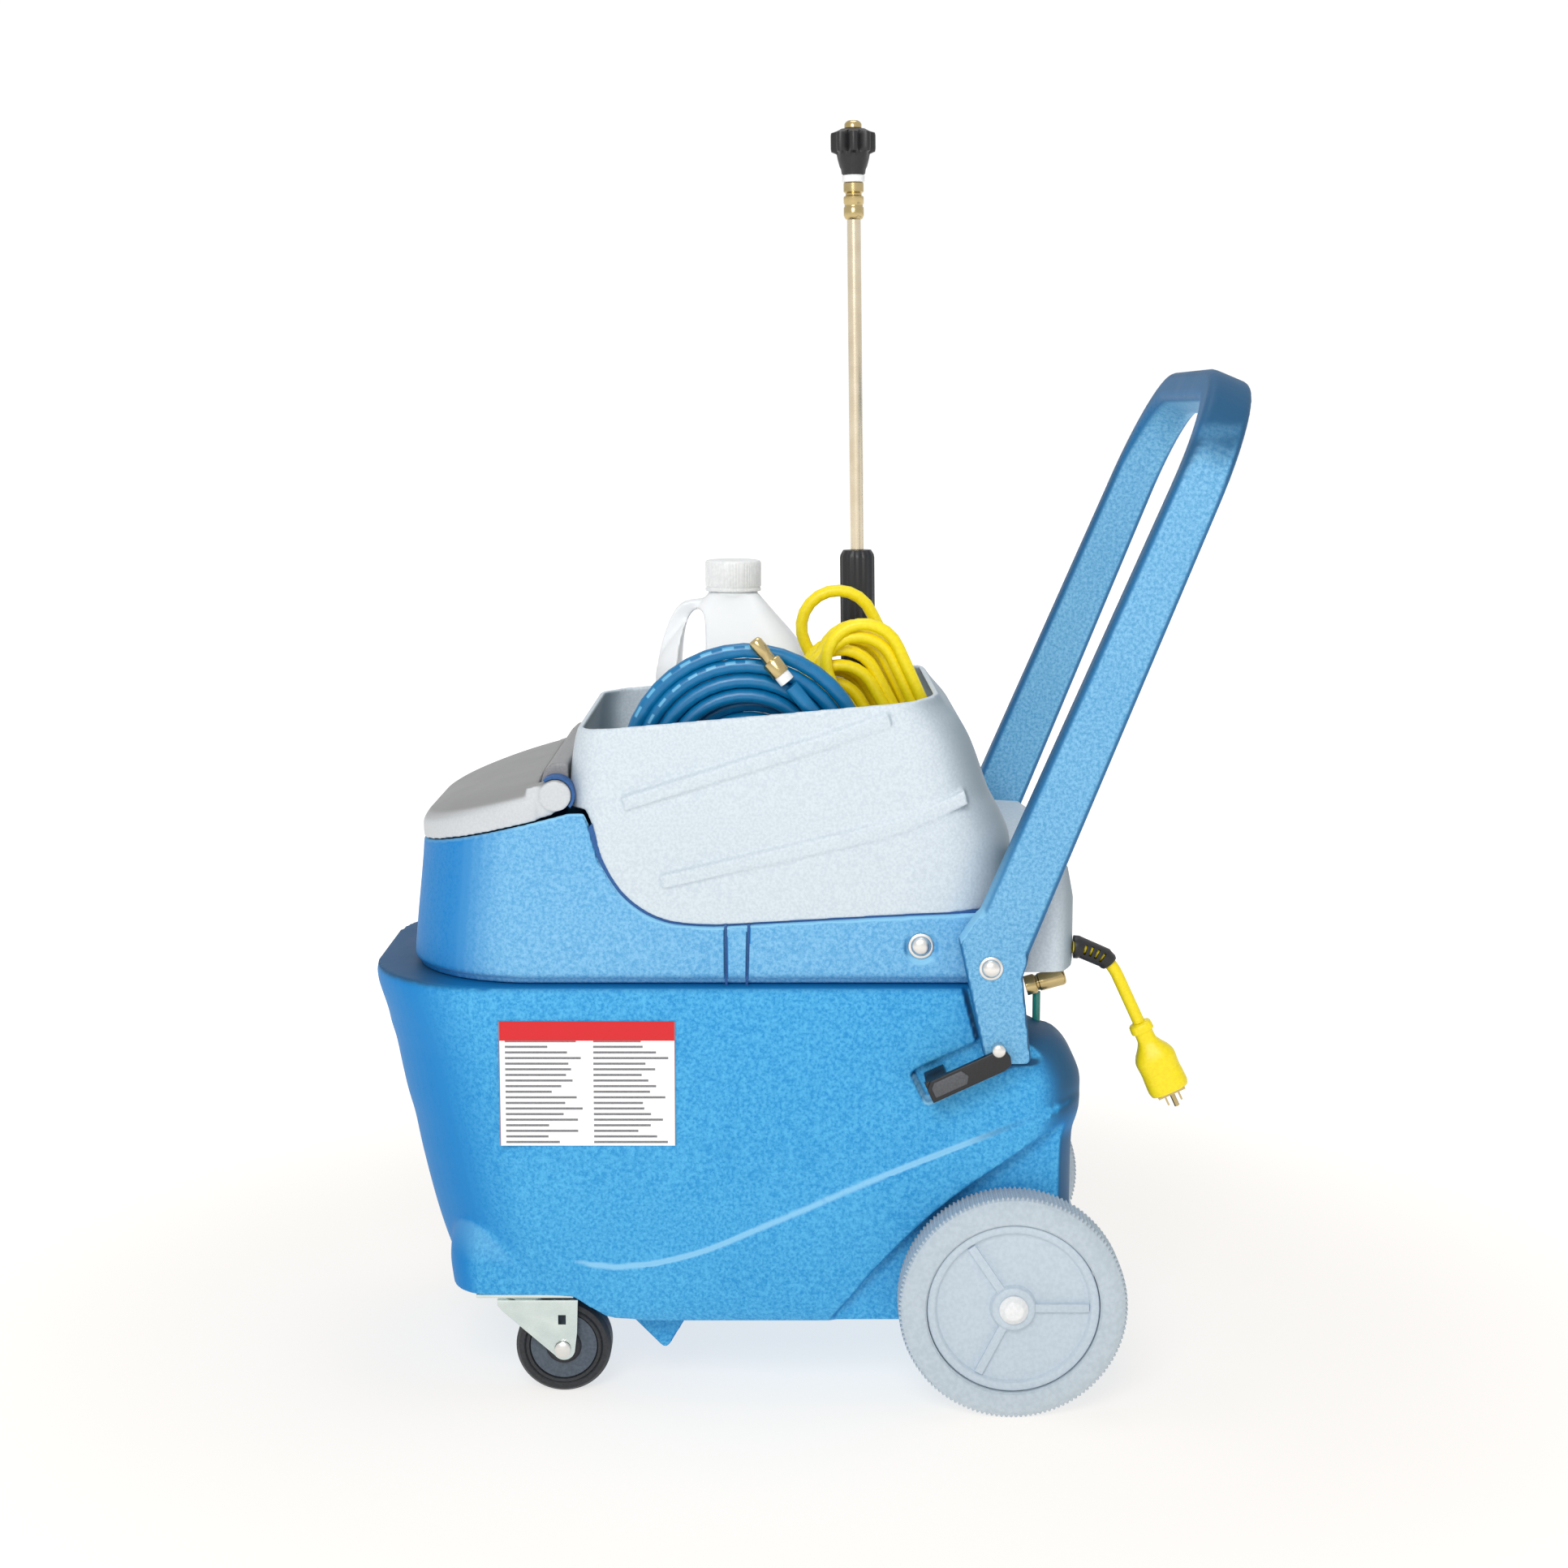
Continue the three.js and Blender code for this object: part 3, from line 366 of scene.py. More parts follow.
# ---- mesh building
def piece(points, faces):
    mesh = bpy.data.meshes.new("piece")
    mesh.from_pydata([row(p) for p in points], [], faces)
    bm = bmesh.new()
    bm.from_mesh(mesh)
    bmesh.ops.remove_doubles(bm, verts=bm.verts, dist=1e-6)
    bmesh.ops.recalc_face_normals(bm, faces=bm.faces)
    bm.to_mesh(mesh)
    bm.free()
    return added("piece", mesh)


def stack(rings, looped=False):
    """Skin over rings of points, all with the same count. A looped stack joins its last ring to its first."""
    count = len(rings[0])
    points = [p for ring in rings for p in ring]
    faces = []
    for level in range(len(rings) if looped else len(rings) - 1):
        a = level * count
        b = (level + 1) % len(rings) * count
        for i in range(count):
            j = (i + 1) % count
            faces.append((a + i, a + j, b + j, b + i))
    if not looped:
        faces.append(tuple(range(count)))
        faces.append(tuple((len(rings) - 1) * count + i for i in range(count)))
    return piece(points, faces)


def prism(outline, y0, y1):
    """An [x, z] outline, extruded across the machine."""
    return stack([[(x, y, z) for x, z in outline] for y in (y0, y1)])


def box(x0, x1, y0, y1, z0, z1):
    return prism([(x0, z0), (x1, z0), (x1, z1), (x0, z1)], y0, y1)


def upright(x, y, z):
    """For turned pieces that stand up at a place: (across, across, along) to a point."""
    return lambda u, v, d: (x + u, y + v, z + d)


def sideways(x, z):
    """For turned pieces on an axle across the machine; the distance along it is y itself."""
    return lambda u, v, d: (x + u, d, z + v)


def laid(x, y, z, heading):
    """For turned pieces laid in a plane of constant y, pointing along a heading above +x."""
    c, s = cos(heading), sin(heading)
    return lambda u, v, d: (x + d * c - u * s, y + v, z + d * s + u * c)


def turned(profile, at, sides=48, looped=False, ripple=None):
    """A turned piece from [radius, distance] pairs. ripple(angle, radius) may change a radius."""
    rings = []
    for radius, along in profile:
        ring = []
        for i in range(sides):
            angle = 2 * pi * i / sides
            r = max(ripple(angle, radius) if ripple else radius, 0.02)
            ring.append(at(r * cos(angle), r * sin(angle), along))
        rings.append(ring)
    return stack(rings, looped)


def bar_y(x, z, radius, y0, y1, sides=48):
    return turned([(radius, y0), (radius, y1)], sideways(x, z), sides)


def bake(obj):
    """Applies obj's modifiers to its mesh."""
    graph = bpy.context.evaluated_depsgraph_get()
    mesh = bpy.data.meshes.new_from_object(obj.evaluated_get(graph))
    obj.modifiers.clear()
    obj.data = mesh
    return obj


def combine(first, others, operation):
    for other in others:
        change = first.modifiers.new("combine", "BOOLEAN")
        change.solver = "MANIFOLD"
        change.operation = operation
        change.object = other
        bake(first)
        bpy.data.objects.remove(other)
    return first


def join(first, *others):
    return combine(first, others, "UNION")


def cut(first, *others):
    return combine(first, others, "DIFFERENCE")


def meet(first, *others):
    return combine(first, others, "INTERSECT")


def mirrored(obj):
    """A copy of obj on the other side of the machine."""
    mesh = obj.data.copy()
    mesh.transform(Matrix.Diagonal((1, -1, 1, 1)))
    mesh.flip_normals()
    return added("twin", mesh)


def both(obj):
    return [obj, mirrored(obj)]


def soften(obj, voxel, rounds):
    """Rounds every edge, as a moulding's: an even mesh of that size in millimetres, smoothed."""
    remesh = obj.modifiers.new("remesh", "REMESH")
    remesh.mode = "VOXEL"
    remesh.voxel_size = voxel * MM
    smooth = obj.modifiers.new("smooth", "SMOOTH")
    smooth.iterations = rounds
    bake(obj)
    obj.data.shade_smooth()
    return obj


def smooth_piece(obj, angle=50):
    obj.data.shade_smooth()
    obj.data.set_sharp_from_angle(angle=radians(angle))
    return obj


def lathe(profile, at, sides=36, sharp=50, looped=False, ripple=None):
    """A turned piece with smooth faces and edges sharp above an angle in degrees."""
    return smooth_piece(turned(profile, at, sides, looped, ripple), sharp)


def bevelled(obj, width=0.8, segments=2, angle=35):
    bevel = obj.modifiers.new("bevel", "BEVEL")
    bevel.width = width * MM
    bevel.segments = segments
    bevel.limit_method = "ANGLE"
    bevel.angle_limit = radians(angle)
    bevel.use_clamp_overlap = True
    return smooth_piece(bake(obj))


def place(obj, name, body, material, replaces=()):
    """Names a finished piece, gives it its body and its look, and hides the CAD nodes it stands for."""
    obj.name = name
    obj.data.name = name
    obj.data.materials.clear()
    obj.data.materials.append(material)
    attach(obj, body)
    if replaces:
        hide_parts(*replaces)
    return obj


def place_pair(obj, name, body, material, node=None):
    """The same for a piece on both sides; body and node may hold {side}."""
    for side, thing in (("right", obj), ("left", mirrored(obj))):
        nodes = [node.format(side=side)] if node else []
        place(thing, f"{name}_{side}", body.format(side=side), material, nodes)


def repaint(material, *nodes):
    """Gives CAD nodes whose shape is right a better material."""
    for name in nodes:
        obj = NODES[name]
        for slot in obj.material_slots:
            slot.material = material


def arc(cx, cz, radius, start, end, count):
    angles = np.linspace(radians(start), radians(end), count)
    return [(cx + radius * cos(a), cz + radius * sin(a)) for a in angles]


def plan(front, rear, half, front_radius, rear_radius, count=18):
    """A plan outline with rounded front and rear corners."""
    shape = arc(rear - rear_radius, -half + rear_radius, rear_radius, -90, 0, count)
    shape += arc(rear - rear_radius, half - rear_radius, rear_radius, 0, 90, count)
    shape += arc(front + front_radius, half - front_radius, front_radius, 90, 180, count)
    shape += arc(front + front_radius, -half + front_radius, front_radius, 180, 270, count)
    return shape, front, rear, half


def eased(stations, values, at):
    """Monotone cubic curve through values at stations, read at new places."""
    stations, values = np.array(stations, float), np.array(values, float)
    step = np.diff(stations)
    slope = np.diff(values) / step
    tangent = np.zeros(len(values))
    tangent[0], tangent[-1] = slope[0], slope[-1]
    for i in range(1, len(values) - 1):
        if slope[i - 1] * slope[i] > 0:
            tangent[i] = 2 * slope[i - 1] * slope[i] / (slope[i - 1] + slope[i])
    where = np.clip(np.searchsorted(stations, at) - 1, 0, len(step) - 1)
    t = (np.array(at) - stations[where]) / step[where]
    h, a, b = step[where], values[where], values[where + 1]
    return (a * (2 * t**3 - 3 * t**2 + 1) + b * (3 * t**2 - 2 * t**3)
            + h * (tangent[where] * (t**3 - 2 * t**2 + t) + tangent[where + 1] * (t**3 - t**2)))


def loft(base, sections, height=lambda x: 0.0, levels=40):
    """A plan outline carried up through [z, front, rear, half] sections, with smooth sides."""
    shape, front, rear, half = base
    stations = [s[0] for s in sections]
    heights = np.linspace(stations[0], stations[-1], levels)
    heights = np.unique(np.concatenate([heights, stations]))
    fronts, rears, halves = [eased(stations, [s[k] for s in sections], heights) for k in (1, 2, 3)]
    rings = []
    for z, f, r, h in zip(heights, fronts, rears, halves):
        ring = []
        for x, y in shape:
            px = f + (x - front) / (rear - front) * (r - f)
            ring.append((px, y * h / half, z + height(px)))
        rings.append(ring)
    return stack(rings)


def inset(sections, wall):
    return [(z, front + wall, rear - wall, half - wall) for z, front, rear, half in sections]


def smooth_line(points, count):
    """An [x, z] line through points, rounded off, in even parameter steps."""
    stations = np.arange(len(points), dtype=float)
    pts = np.array(points, float)
    at = np.linspace(0, len(points) - 1, count)
    out = []
    for t in at:
        i = min(int(t), len(points) - 2)
        u = t - i
        p0 = pts[max(i - 1, 0)]
        p1, p2 = pts[i], pts[i + 1]
        p3 = pts[min(i + 2, len(points) - 1)]
        q = 0.5 * ((2 * p1) + (p2 - p0) * u + (2 * p0 - 5 * p1 + 4 * p2 - p3) * u**2
                   + (3 * p1 - p0 - 3 * p2 + p3) * u**3)
        out.append(tuple(q))
    return out


# ---- cords
def tube(name, points, radius, material):
    """A round cord along one open spline of millimetre points."""
    curve = bpy.data.curves.new(name, "CURVE")
    curve.dimensions = "3D"
    curve.bevel_depth = radius * MM
    curve.bevel_resolution = 6
    curve.use_fill_caps = True
    spline = curve.splines.new("POLY")
    spline.points.add(len(points) - 1)
    for point, target in zip(points, spline.points):
        target.co = (*row(point), 1.0)
        target.radius = 1.0
    spline.use_smooth = True
    curve.materials.append(material)
    return added(name, curve)


CORD_BEND, CORD_TURN, CORD_LENGTH, CORD_POINTS = 45.0, radians(65), 99.0, 20


def cord_at(distance):
    """The pigtail: level out of the housing, round one bend, then straight down the slope."""
    turned_by = min(distance / CORD_BEND, CORD_TURN)
    straight = max(distance - CORD_BEND * CORD_TURN, 0.0)
    x = CORD_BEND * sin(turned_by) + straight * cos(turned_by)
    drop = CORD_BEND * (1 - cos(turned_by)) + straight * sin(turned_by)
    return (CORD_X + x, CORD_Y, CORD_Z - drop)


def cord_heading(distance):
    return -min(distance / CORD_BEND, CORD_TURN)


def turns(knots, steps_per_turn):
    """Points round the coil's centre through (angle, radius, y, sag) knots, eased between them."""
    angles = [k[0] for k in knots]
    count = int((angles[-1] - angles[0]) / 360 * steps_per_turn)
    out = []
    for angle in np.linspace(angles[0], angles[-1], count):
        i = min(int(np.searchsorted(angles, angle, side="right")) - 1, len(knots) - 2)
        share = (angle - angles[i]) / (angles[i + 1] - angles[i])
        flat = share * share * (3 - 2 * share)
        radius = knots[i][1] + (knots[i + 1][1] - knots[i][1]) * share
        y = knots[i][2] + (knots[i + 1][2] - knots[i][2]) * flat
        sag = knots[i][3] + (knots[i + 1][3] - knots[i][3]) * flat
        a = radians(angle)
        out.append((COIL_X + radius * cos(a), y, COIL_Z - sag + radius * sin(a)))
    return out


BACK_SAG = 8.0


def make_hose():
    """Lies in two layers: in from the rim behind, out again in front, then across to its free end."""
    back, near, over = -127.75, -141.5, -155.0
    start = [(x, back, COIL_Z - 106.0 - BACK_SAG * 0.04 * (x + 92) / 12) for x in np.linspace(-92, -44, 7)]
    knots = [(-90, 99.5, back, BACK_SAG), (1170, 53.0, back, BACK_SAG), (1350, 54.0, back, BACK_SAG),
             (1440, 64.0, near, 0), (2610, 107.5, near, 0), (2720, 107.5, near, 0), (2850, 78.5, over, 0),
             (2919, 78.3, over, 0)]
    coil = turns(knots, 40)
    a = radians(39)
    heading = (-sin(a), cos(a))
    end = coil[-1]
    tail = [(end[0] + heading[0] * d, over - 2.4 * d / 36, end[2] + heading[1] * d)
            for d in (6, 12, 18, 24, 30, 36)]
    return tube("hose", start + coil + tail, HOSE_R, hose_jacket())


HANK_NEAR, HANK_PITCH, LOOP_POINTS = -42.5, 10.6, 64
LOOP_R, LOOP_STRAIGHT = 33.5, 195.0
HANK_FOOT = (HANK_X + LOOP_STRAIGHT / 2 * sin(HANK_TILT), HANK_Z - LOOP_STRAIGHT / 2 * cos(HANK_TILT))


def eased_share(at, start, end):
    share = min(1.0, max(0.0, (at - start) / (end - start)))
    return share * share * (3 - 2 * share)


def loop_point(share, y, tilt, shift, drop):
    """A point round one stadium-shaped loop, from the bottom of its right side upwards."""
    straight, bend = LOOP_STRAIGHT - drop, pi * LOOP_R
    d = share * 2 * (straight + bend)
    if d < straight:
        across, along = LOOP_R, d
    elif d < straight + bend:
        a = (d - straight) / LOOP_R
        across, along = LOOP_R * cos(a), straight + LOOP_R * sin(a)
    elif d < 2 * straight + bend:
        across, along = -LOOP_R, 2 * straight + bend - d
    else:
        a = pi + (d - 2 * straight - bend) / LOOP_R
        across, along = LOOP_R * cos(a), LOOP_R * sin(a)
    c, s = cos(tilt), sin(tilt)
    return (HANK_FOOT[0] - shift + across * c - along * s, y, HANK_FOOT[1] + across * s + along * c)


def hank_tail(start, top, lead):
    """From a strand of the hank, down it at first for a lead, into the top of a cord end behind it."""
    start, top = Vector(start), Vector(top)
    pull = start - Vector((-sin(HANK_TILT), 0, cos(HANK_TILT))) * lead
    above = top + Vector((0, 0, 70))
    out = []
    for t in np.linspace(0, 1, 25):
        u = 1 - t
        out.append(tuple(u**3 * start + 3 * u * u * t * pull + 3 * u * t * t * above + t**3 * top))
    return out


def make_hank():
    """Fourteen long loops, seven across the bin and seven back, each leaning and ending in its own place."""
    tilts = (27.0, 29.0, 30.0, 26.0, 31.0, 28.0, 25.0, 24.5, 29.0, 26.0, 31.0, 25.0, 30.0, 27.0)
    shifts = (0.0, 14.0, 30.0, 6.0, 40.0, 20.0, 8.0, 0.0, 26.0, 12.0, 46.0, 4.0, 34.0, 18.0)
    drops = (-16.0, 32.0, 56.0, 24.0, 68.0, 38.0, 28.0, 16.0, 52.0, 30.0, 76.0, 20.0, 60.0, 42.0)
    half = len(tilts) // 2
    loops = []
    for k, (tilt, shift, drop) in enumerate(zip(tilts, shifts, drops)):
        layer = k if k < half else 2 * half - 0.5 - k
        y = HANK_NEAR - HANK_PITCH * layer
        loops.append({"y": y, "tilt": radians(tilt), "shift": shift, "drop": drop})
    points = []
    for loop, follow in zip(loops, loops[1:] + loops[-1:]):
        for turn in np.arange(LOOP_POINTS) / LOOP_POINTS:
            late = eased_share(turn, 0.55, 1.0)
            # The sideways shift is over before the bend at the foot, so that this bend stays wide.
            early = eased_share(turn, 0.5, 0.79)
            here = {}
            for key, value in loop.items():
                here[key] = value + (follow[key] - value) * (early if key == "shift" else late)
            points.append(loop_point(turn, **here))
    out, back = 12, -10
    first = hank_tail(points[out], SOCKET_TOP, 70)
    last = hank_tail(points[back], PLUG_TOP, 0)
    return tube("extension_cord_hank", first[::-1] + points[out + 1:back] + last, CORD_R, YELLOW)


SOCKET_TOP = (160.0, 29.0, 492.0)
PLUG_TOP = (164.0, -10.0, 492.0)
HOSE_START = (-92.0, -127.75, 465.5)

pigtail = tube("power_pigtail", [cord_at(CORD_LENGTH * i / (CORD_POINTS - 1)) for i in range(CORD_POINTS)],
               CORD_R, YELLOW)
hose = make_hose()
hank = make_hank()
for cord, node, slot_name in ((pigtail, "power_cord", "yellow_cord"), (hose, "hose_coil", "hose_jacket"),
                              (hank, "extension_cord", "yellow_cord")):
    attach(cord, "chassis")
    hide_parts(node)


# ---- lower (solution) tank
TANK_PLAN = plan(-378, 212, TANK_HALF, 128, 55)
TANK_SECTIONS = [
    (BELLY, -292, 248, 170), (84, -300, 257, 176), (100, -307, 259, 181), (150, -324, 260, 184.5),
    (213, -339, 260, 186), (244, -345, 261, 186.5), (266, -351, 267, TANK_HALF),
    (290, -356, 268, TANK_HALF), (316, -361, 259, TANK_HALF), (326, -364, 252, TANK_HALF),
    (334, -366, 243, TANK_HALF), (340, -367, 225, TANK_HALF), (347, -369, 215, TANK_HALF),
    (378, -377, 212, TANK_HALF), (TANK_RIM, -376, 211, 185.5),
]
SHELF_FRONT, SHELF_SIDE, SHELF_TOP = 214.0, -105.0, 262.0
LEDGE_END = 34.0
SWOOSH = [(-237, 146), (-157, 128), (-84, 139), (-12, 169), (61, 201), (133, 231), (233, 270), (300, 284)]
WHEEL_ARCH = [(44, 80), (84, 130), (128, 175), (184, 219), (244, 256), (310, 266)]
FOOT_PLAN = plan(-378, 212, TANK_HALF, 48, 55)
FOOT_SECTIONS = [(BELLY, -298, 180, 173), (107, -303, 180, 178), (125, -305, 180, 176), (165, -300, 180, 160),
                 (190, -280, 180, 140)]
LEDGE = 4.0


def swung(obj, x, z, angle):
    """Turns a piece drawn at the origin about the y axis and moves it to a place."""
    home = Matrix.Translation(row((x, 0, z)))
    turn = Matrix.Rotation(-angle, 4, "Y")
    obj.data.transform(home @ turn @ Matrix.Translation(-row((0, 0, 0))))
    return obj


def at_latch(obj):
    return swung(obj, LATCH_X, LATCH_Z, LATCH_TILT)


def make_lower_tank():
    shell = loft(TANK_PLAN, TANK_SECTIONS)
    proud = loft(TANK_PLAN, [(z, front + LEDGE_END, rear, half + LEDGE)
                             for z, front, rear, half in TANK_SECTIONS])
    below = prism([(-420, 40), (-420, 220)] + smooth_line(SWOOSH, 60) + [(300, 40)], -WIDE, WIDE)
    keep = prism([(-420, 420), (-420, CASTER_PAD), (-190, CASTER_PAD), (-158, 78), (-120, BELLY),
                  (300, BELLY), (300, 420)], -WIDE, WIDE)
    body = join(meet(join(shell, meet(proud, below), loft(FOOT_PLAN, FOOT_SECTIONS)), keep),
                prism([(-155, 82), (-112, 37), (-106, 37), (-79, 82)], -140, 140))
    arch = [(40, 40)] + smooth_line(WHEEL_ARCH, 50) + [(310, 40)]
    cut(body, *both(prism(arch, 172, 230)))
    cut(body, *both(prism([(142, 470), (158, 385), (176, 316), (300, 316), (300, 470)], LEG_RECESS, 230)))
    cut(body, *both(at_latch(box(-46, 46, 177, 230, -16, 16))))
    cut(body, box(SHELF_FRONT, 300, SHELF_SIDE, 230, SHELF_TOP, 420))
    cut(body, box(-284, 194, -140, 140, 200, 400), box(WHEEL_X - 9, WHEEL_X + 9, -200, 200, 40, WHEEL_Z + 9))
    return soften(body, 2.5, 3)


place(make_lower_tank(), "lower_tank_shell", "chassis", BLUE, ["lower_tank"])


# ---- upper (recovery) body
UPPER_PLAN = plan(-341, UPPER_REAR, 178, 118, 30)
UPPER_SECTIONS = [
    (TANK_RIM + GAP, -337, 201, 173.5), (391, -337, 201, 173.5), (392.5, -341, UPPER_REAR, 178),
    (419, -339, UPPER_REAR, 177), (497, -331.5, UPPER_REAR, 173.5), (545, -329, UPPER_REAR, 172),
]
COVER_SEAM = [
    (-176, LID_REAR_Z), (-171, 526), (-166, 508), (-160, 491), (-145, 467), (-125, 450),
    (-104, 441), (-83, 438), (-61, 437), (95, 446), (UPPER_REAR, 451),
]
SEAM_OPEN = 2.0
WELL_FRONT, WELL_HALF = -280.0, 136.0


def cover_line():
    """The edge of the upper body that the bin's cover follows, on the side."""
    return smooth_line(COVER_SEAM[:9], 50) + COVER_SEAM[9:]


def lid_seam(x):
    return LID_REAR_Z + LID_SLOPE * (x - LID_REAR)


STRAP_LINES, STRAP_DEPTH = ((-51.0, -51.5), (-33.0, -31.0)), 174.6


def strap_line(low_x, high_x, half, inner, outer):
    """A narrow upright groove, or the painted-shade strip at its bottom, from the tank's rim up to the
    cover's seam.
    """
    return prism([(low_x - half, 384), (low_x + half, 384), (high_x + half, 440), (high_x - half, 440)],
                 inner, outer)


def make_upper_body():
    keep = prism([(-420, 380), (-420, lid_seam(-420)), (LID_REAR, LID_REAR_Z)]
                 + cover_line() + [(250, 453), (250, 380)], -WIDE, WIDE)
    body = meet(loft(UPPER_PLAN, UPPER_SECTIONS), keep)
    room = meet(loft(UPPER_PLAN, inset(UPPER_SECTIONS, WALL)), box(-400, -152, -200, 200, 394, 600))
    cut(body, room)
    cut(body, *both(bar_y(BODY_BOLT_X, BODY_BOLT_Z, 15, 174.0, 190)))
    soften(body, 2.2, 4)
    for low_x, high_x in STRAP_LINES:
        cut(body, *both(strap_line(low_x, high_x, 1.3, STRAP_DEPTH, 190)))
    return body


def make_well():
    """The recovery tank's deep well, seen with the lid off."""
    outline = [(WELL_FRONT, 400), (WELL_FRONT, 205), (-130, 205), (-130, 400)]
    inside = [(WELL_FRONT + WALL, 410), (WELL_FRONT + WALL, 211), (-146, 211), (-146, 410)]
    return bevelled(cut(prism(outline, -WELL_HALF, WELL_HALF),
                        prism(inside, WALL - WELL_HALF, WELL_HALF - WALL)), 3, 3)


place(make_upper_body(), "upper_body_shell", "chassis", BLUE_UPPER, ["upper_body"])
place(make_well(), "recovery_well", "chassis", BLUE_UPPER)
# Dark strips at the groove bottoms: painted shade in the grooves.
for number, (low_x, high_x) in enumerate(STRAP_LINES):
    strip = strap_line(low_x, high_x, 1.1, STRAP_DEPTH - 2, STRAP_DEPTH + 0.9)
    place_pair(strip, f"strap_line_{number}", "chassis", SHADE_BLUE)


# ---- lid of the recovery tank
LID_PLAN = plan(-331, -217, 170, 110, 3)
LID_TOP = [(GAP + 0.6, -331, 170), (14, -331.5, 170.5), (24, -326, 168.5), (29.5, -314, 161),
           (33.5, -292, 146), (36, -258, 106)]


def make_lid():
    sections = [(z, front, -217, half) for z, front, half in LID_TOP]
    body = loft(LID_PLAN, sections, lid_seam)
    under = loft(LID_PLAN, [(z - (1.5 if z < 20 else BIN_WALL), front + BIN_WALL, -222, half - BIN_WALL)
                            for z, front, half in LID_TOP], lid_seam)
    cut(body, under)
    arm = join(bar_y(BOSS_X, BOSS_Z, BOSS_R, 152, 172),
               prism([(-226, 529.5), (-204, 536), (BOSS_X, BOSS_Z - BOSS_R), (BOSS_X, BOSS_Z + BOSS_R),
                      (-226, 560)], 152, 168))
    join(body, *both(arm))
    return soften(body, 1.8, 4)


place(make_lid(), "lid_shell", "lid", LID, ["recovery_tank_lid"])
# Painted shade: a dark blue arc round the lid's boss stands for the shadow in the gap.
arc_out = arc(BOSS_X, BOSS_Z, BOSS_R + 3.2, -40, 128, 30)
arc_in = arc(BOSS_X, BOSS_Z, BOSS_R + 0.6, -40, 128, 30)
place_pair(prism(arc_out + arc_in[::-1], 151, 168.5), "lid_boss_gap_shade", "chassis", SHADE_BLUE)


# ---- storage bin and cover
BIN_PLAN = plan(-190, UPPER_REAR, 176, 36, 60)
BIN_SECTIONS = [
    (430, -190, UPPER_REAR, 176), (507, -190, UPPER_REAR, 174.5), (534, -190, 193.5, 173.5),
    (551, -190, 184, 173), (566, -189.5, 178.5, 172.5), (597, -186, 167, 171.5),
    (612, -182, 159, 171), (640, -172, 137, 169.5), (700, -160, 120, 168),
]
RIBS = [([(-141, 547), (24, 598), (92, 621)], 178.0, 173.4),
        ([(-108, 478), (24, 508), (96, 526), (134, 541), (160, 553)], 179.4, 175.4)]


def rib(path, front, rear):
    """A raised rib on the bin's side, proud at its front end and fading into the wall at its rear end."""
    line = smooth_line(path, 24)
    lower = [(x + 1.6, z - 6) for x, z in line]
    upper = [(x - 1.6, z + 6) for x, z in line][::-1]
    obj = prism(lower + upper, 160, front)
    start, end = row((path[0][0], 0, 0)).x, row((path[-1][0], 0, 0)).x
    for corner in obj.data.vertices:
        if abs(corner.co.y) > 165 * MM:
            share = (corner.co.x - start) / (end - start)
            corner.co.y = copysign((front + (rear - front) * share) * MM, corner.co.y)
    return obj


def make_bin():
    seam = [(x + SEAM_OPEN, z + SEAM_OPEN) for x, z in cover_line()]
    keep = prism([(-230, 611), (-230, 541), (-173.5, 541)] + seam
                 + [(250, 453), (250, 640), (137, 639), (113, 636), (-173, 611)], -WIDE, WIDE)
    body = meet(loft(BIN_PLAN, BIN_SECTIONS), keep)
    for path, front, rear in RIBS:
        join(body, *both(rib(path, front, rear)))
    inside = meet(loft(BIN_PLAN, inset(BIN_SECTIONS, BIN_WALL)),
                  prism([(-230, 690), (-230, 547), (-172, 547), (-160, 508), (-153, 493), (-139, 471),
                         (-121, BIN_FLOOR), (250, BIN_FLOOR), (250, 690)], -WIDE, WIDE))
    cut(body, inside, *both(bar_y(BOSS_X, BOSS_Z, BOSS_R + 2.4, 150.6, 190)))
    return soften(body, 1.9, 3)


def make_seam_shade_strip():
    """The dark blue strip seen in the seam, a little in from both sides: painted shade, standing for the
    shadow in the seam.
    """
    line = cover_line()[6:]
    low = [(x - 1.0, z - 1.0) for x, z in line]
    high = [(x + SEAM_OPEN + 0.6, z + SEAM_OPEN + 0.6) for x, z in line]
    return prism(low + high[::-1], 160, 172.2)


RIDGE = [(-191, 541), (-214, 541), (-215, 563), (-212, 573), (-205, 579.5), (-196, 580.5), (-191, 579)]
place(make_bin(), "bin_shell", "chassis", GREY, ["storage_bin"])
# The ridge takes the darker grey, as painted shade.
place(soften(prism(RIDGE, -150, 150), 1.6, 4), "bin_ridge", "chassis", RIDGE_SHADE_GREY)
place_pair(make_seam_shade_strip(), "cover_seam_shade_strip", "chassis", SHADE_BLUE)


# ---- rear switch housing
def make_housing():
    front = UPPER_REAR + GAP
    outline = [(front, 500), (236, 498), (252, 487), (258, 460), (HOUSING_REAR, 455),
               (HOUSING_REAR, 402), (257, 396), (250, 393), (front, 393)]
    corners = loft(plan(100, HOUSING_REAR, HOUSING_HALF, 5, 26),
                   [(380, 100, HOUSING_REAR, HOUSING_HALF), (520, 100, HOUSING_REAR, HOUSING_HALF)], levels=2)
    body = meet(prism(outline, -HOUSING_HALF, HOUSING_HALF), corners)
    for y in (-34, 0, 34):
        cut(body, box(HOUSING_REAR - 9, 270, y - 7.8, y + 7.8, 434.8, 461.2))
    return bevelled(body, 2.0, 3, 30)


place(make_housing(), "housing_shell", "chassis", GREY, ["switch_housing"])
repaint(BLACK, "power_switch", "vacuum_switch", "pump_switch")


# ---- handle
HANDLE_LEAN, HANDLE_LENGTH = radians(22.6), 553.0
HANDLE_MID, HANDLE_THICK, HANDLE_BEND = 197.0, 30.0, 95.0
HANDLE_LOW, HANDLE_HIGH = 54.0, 40.0


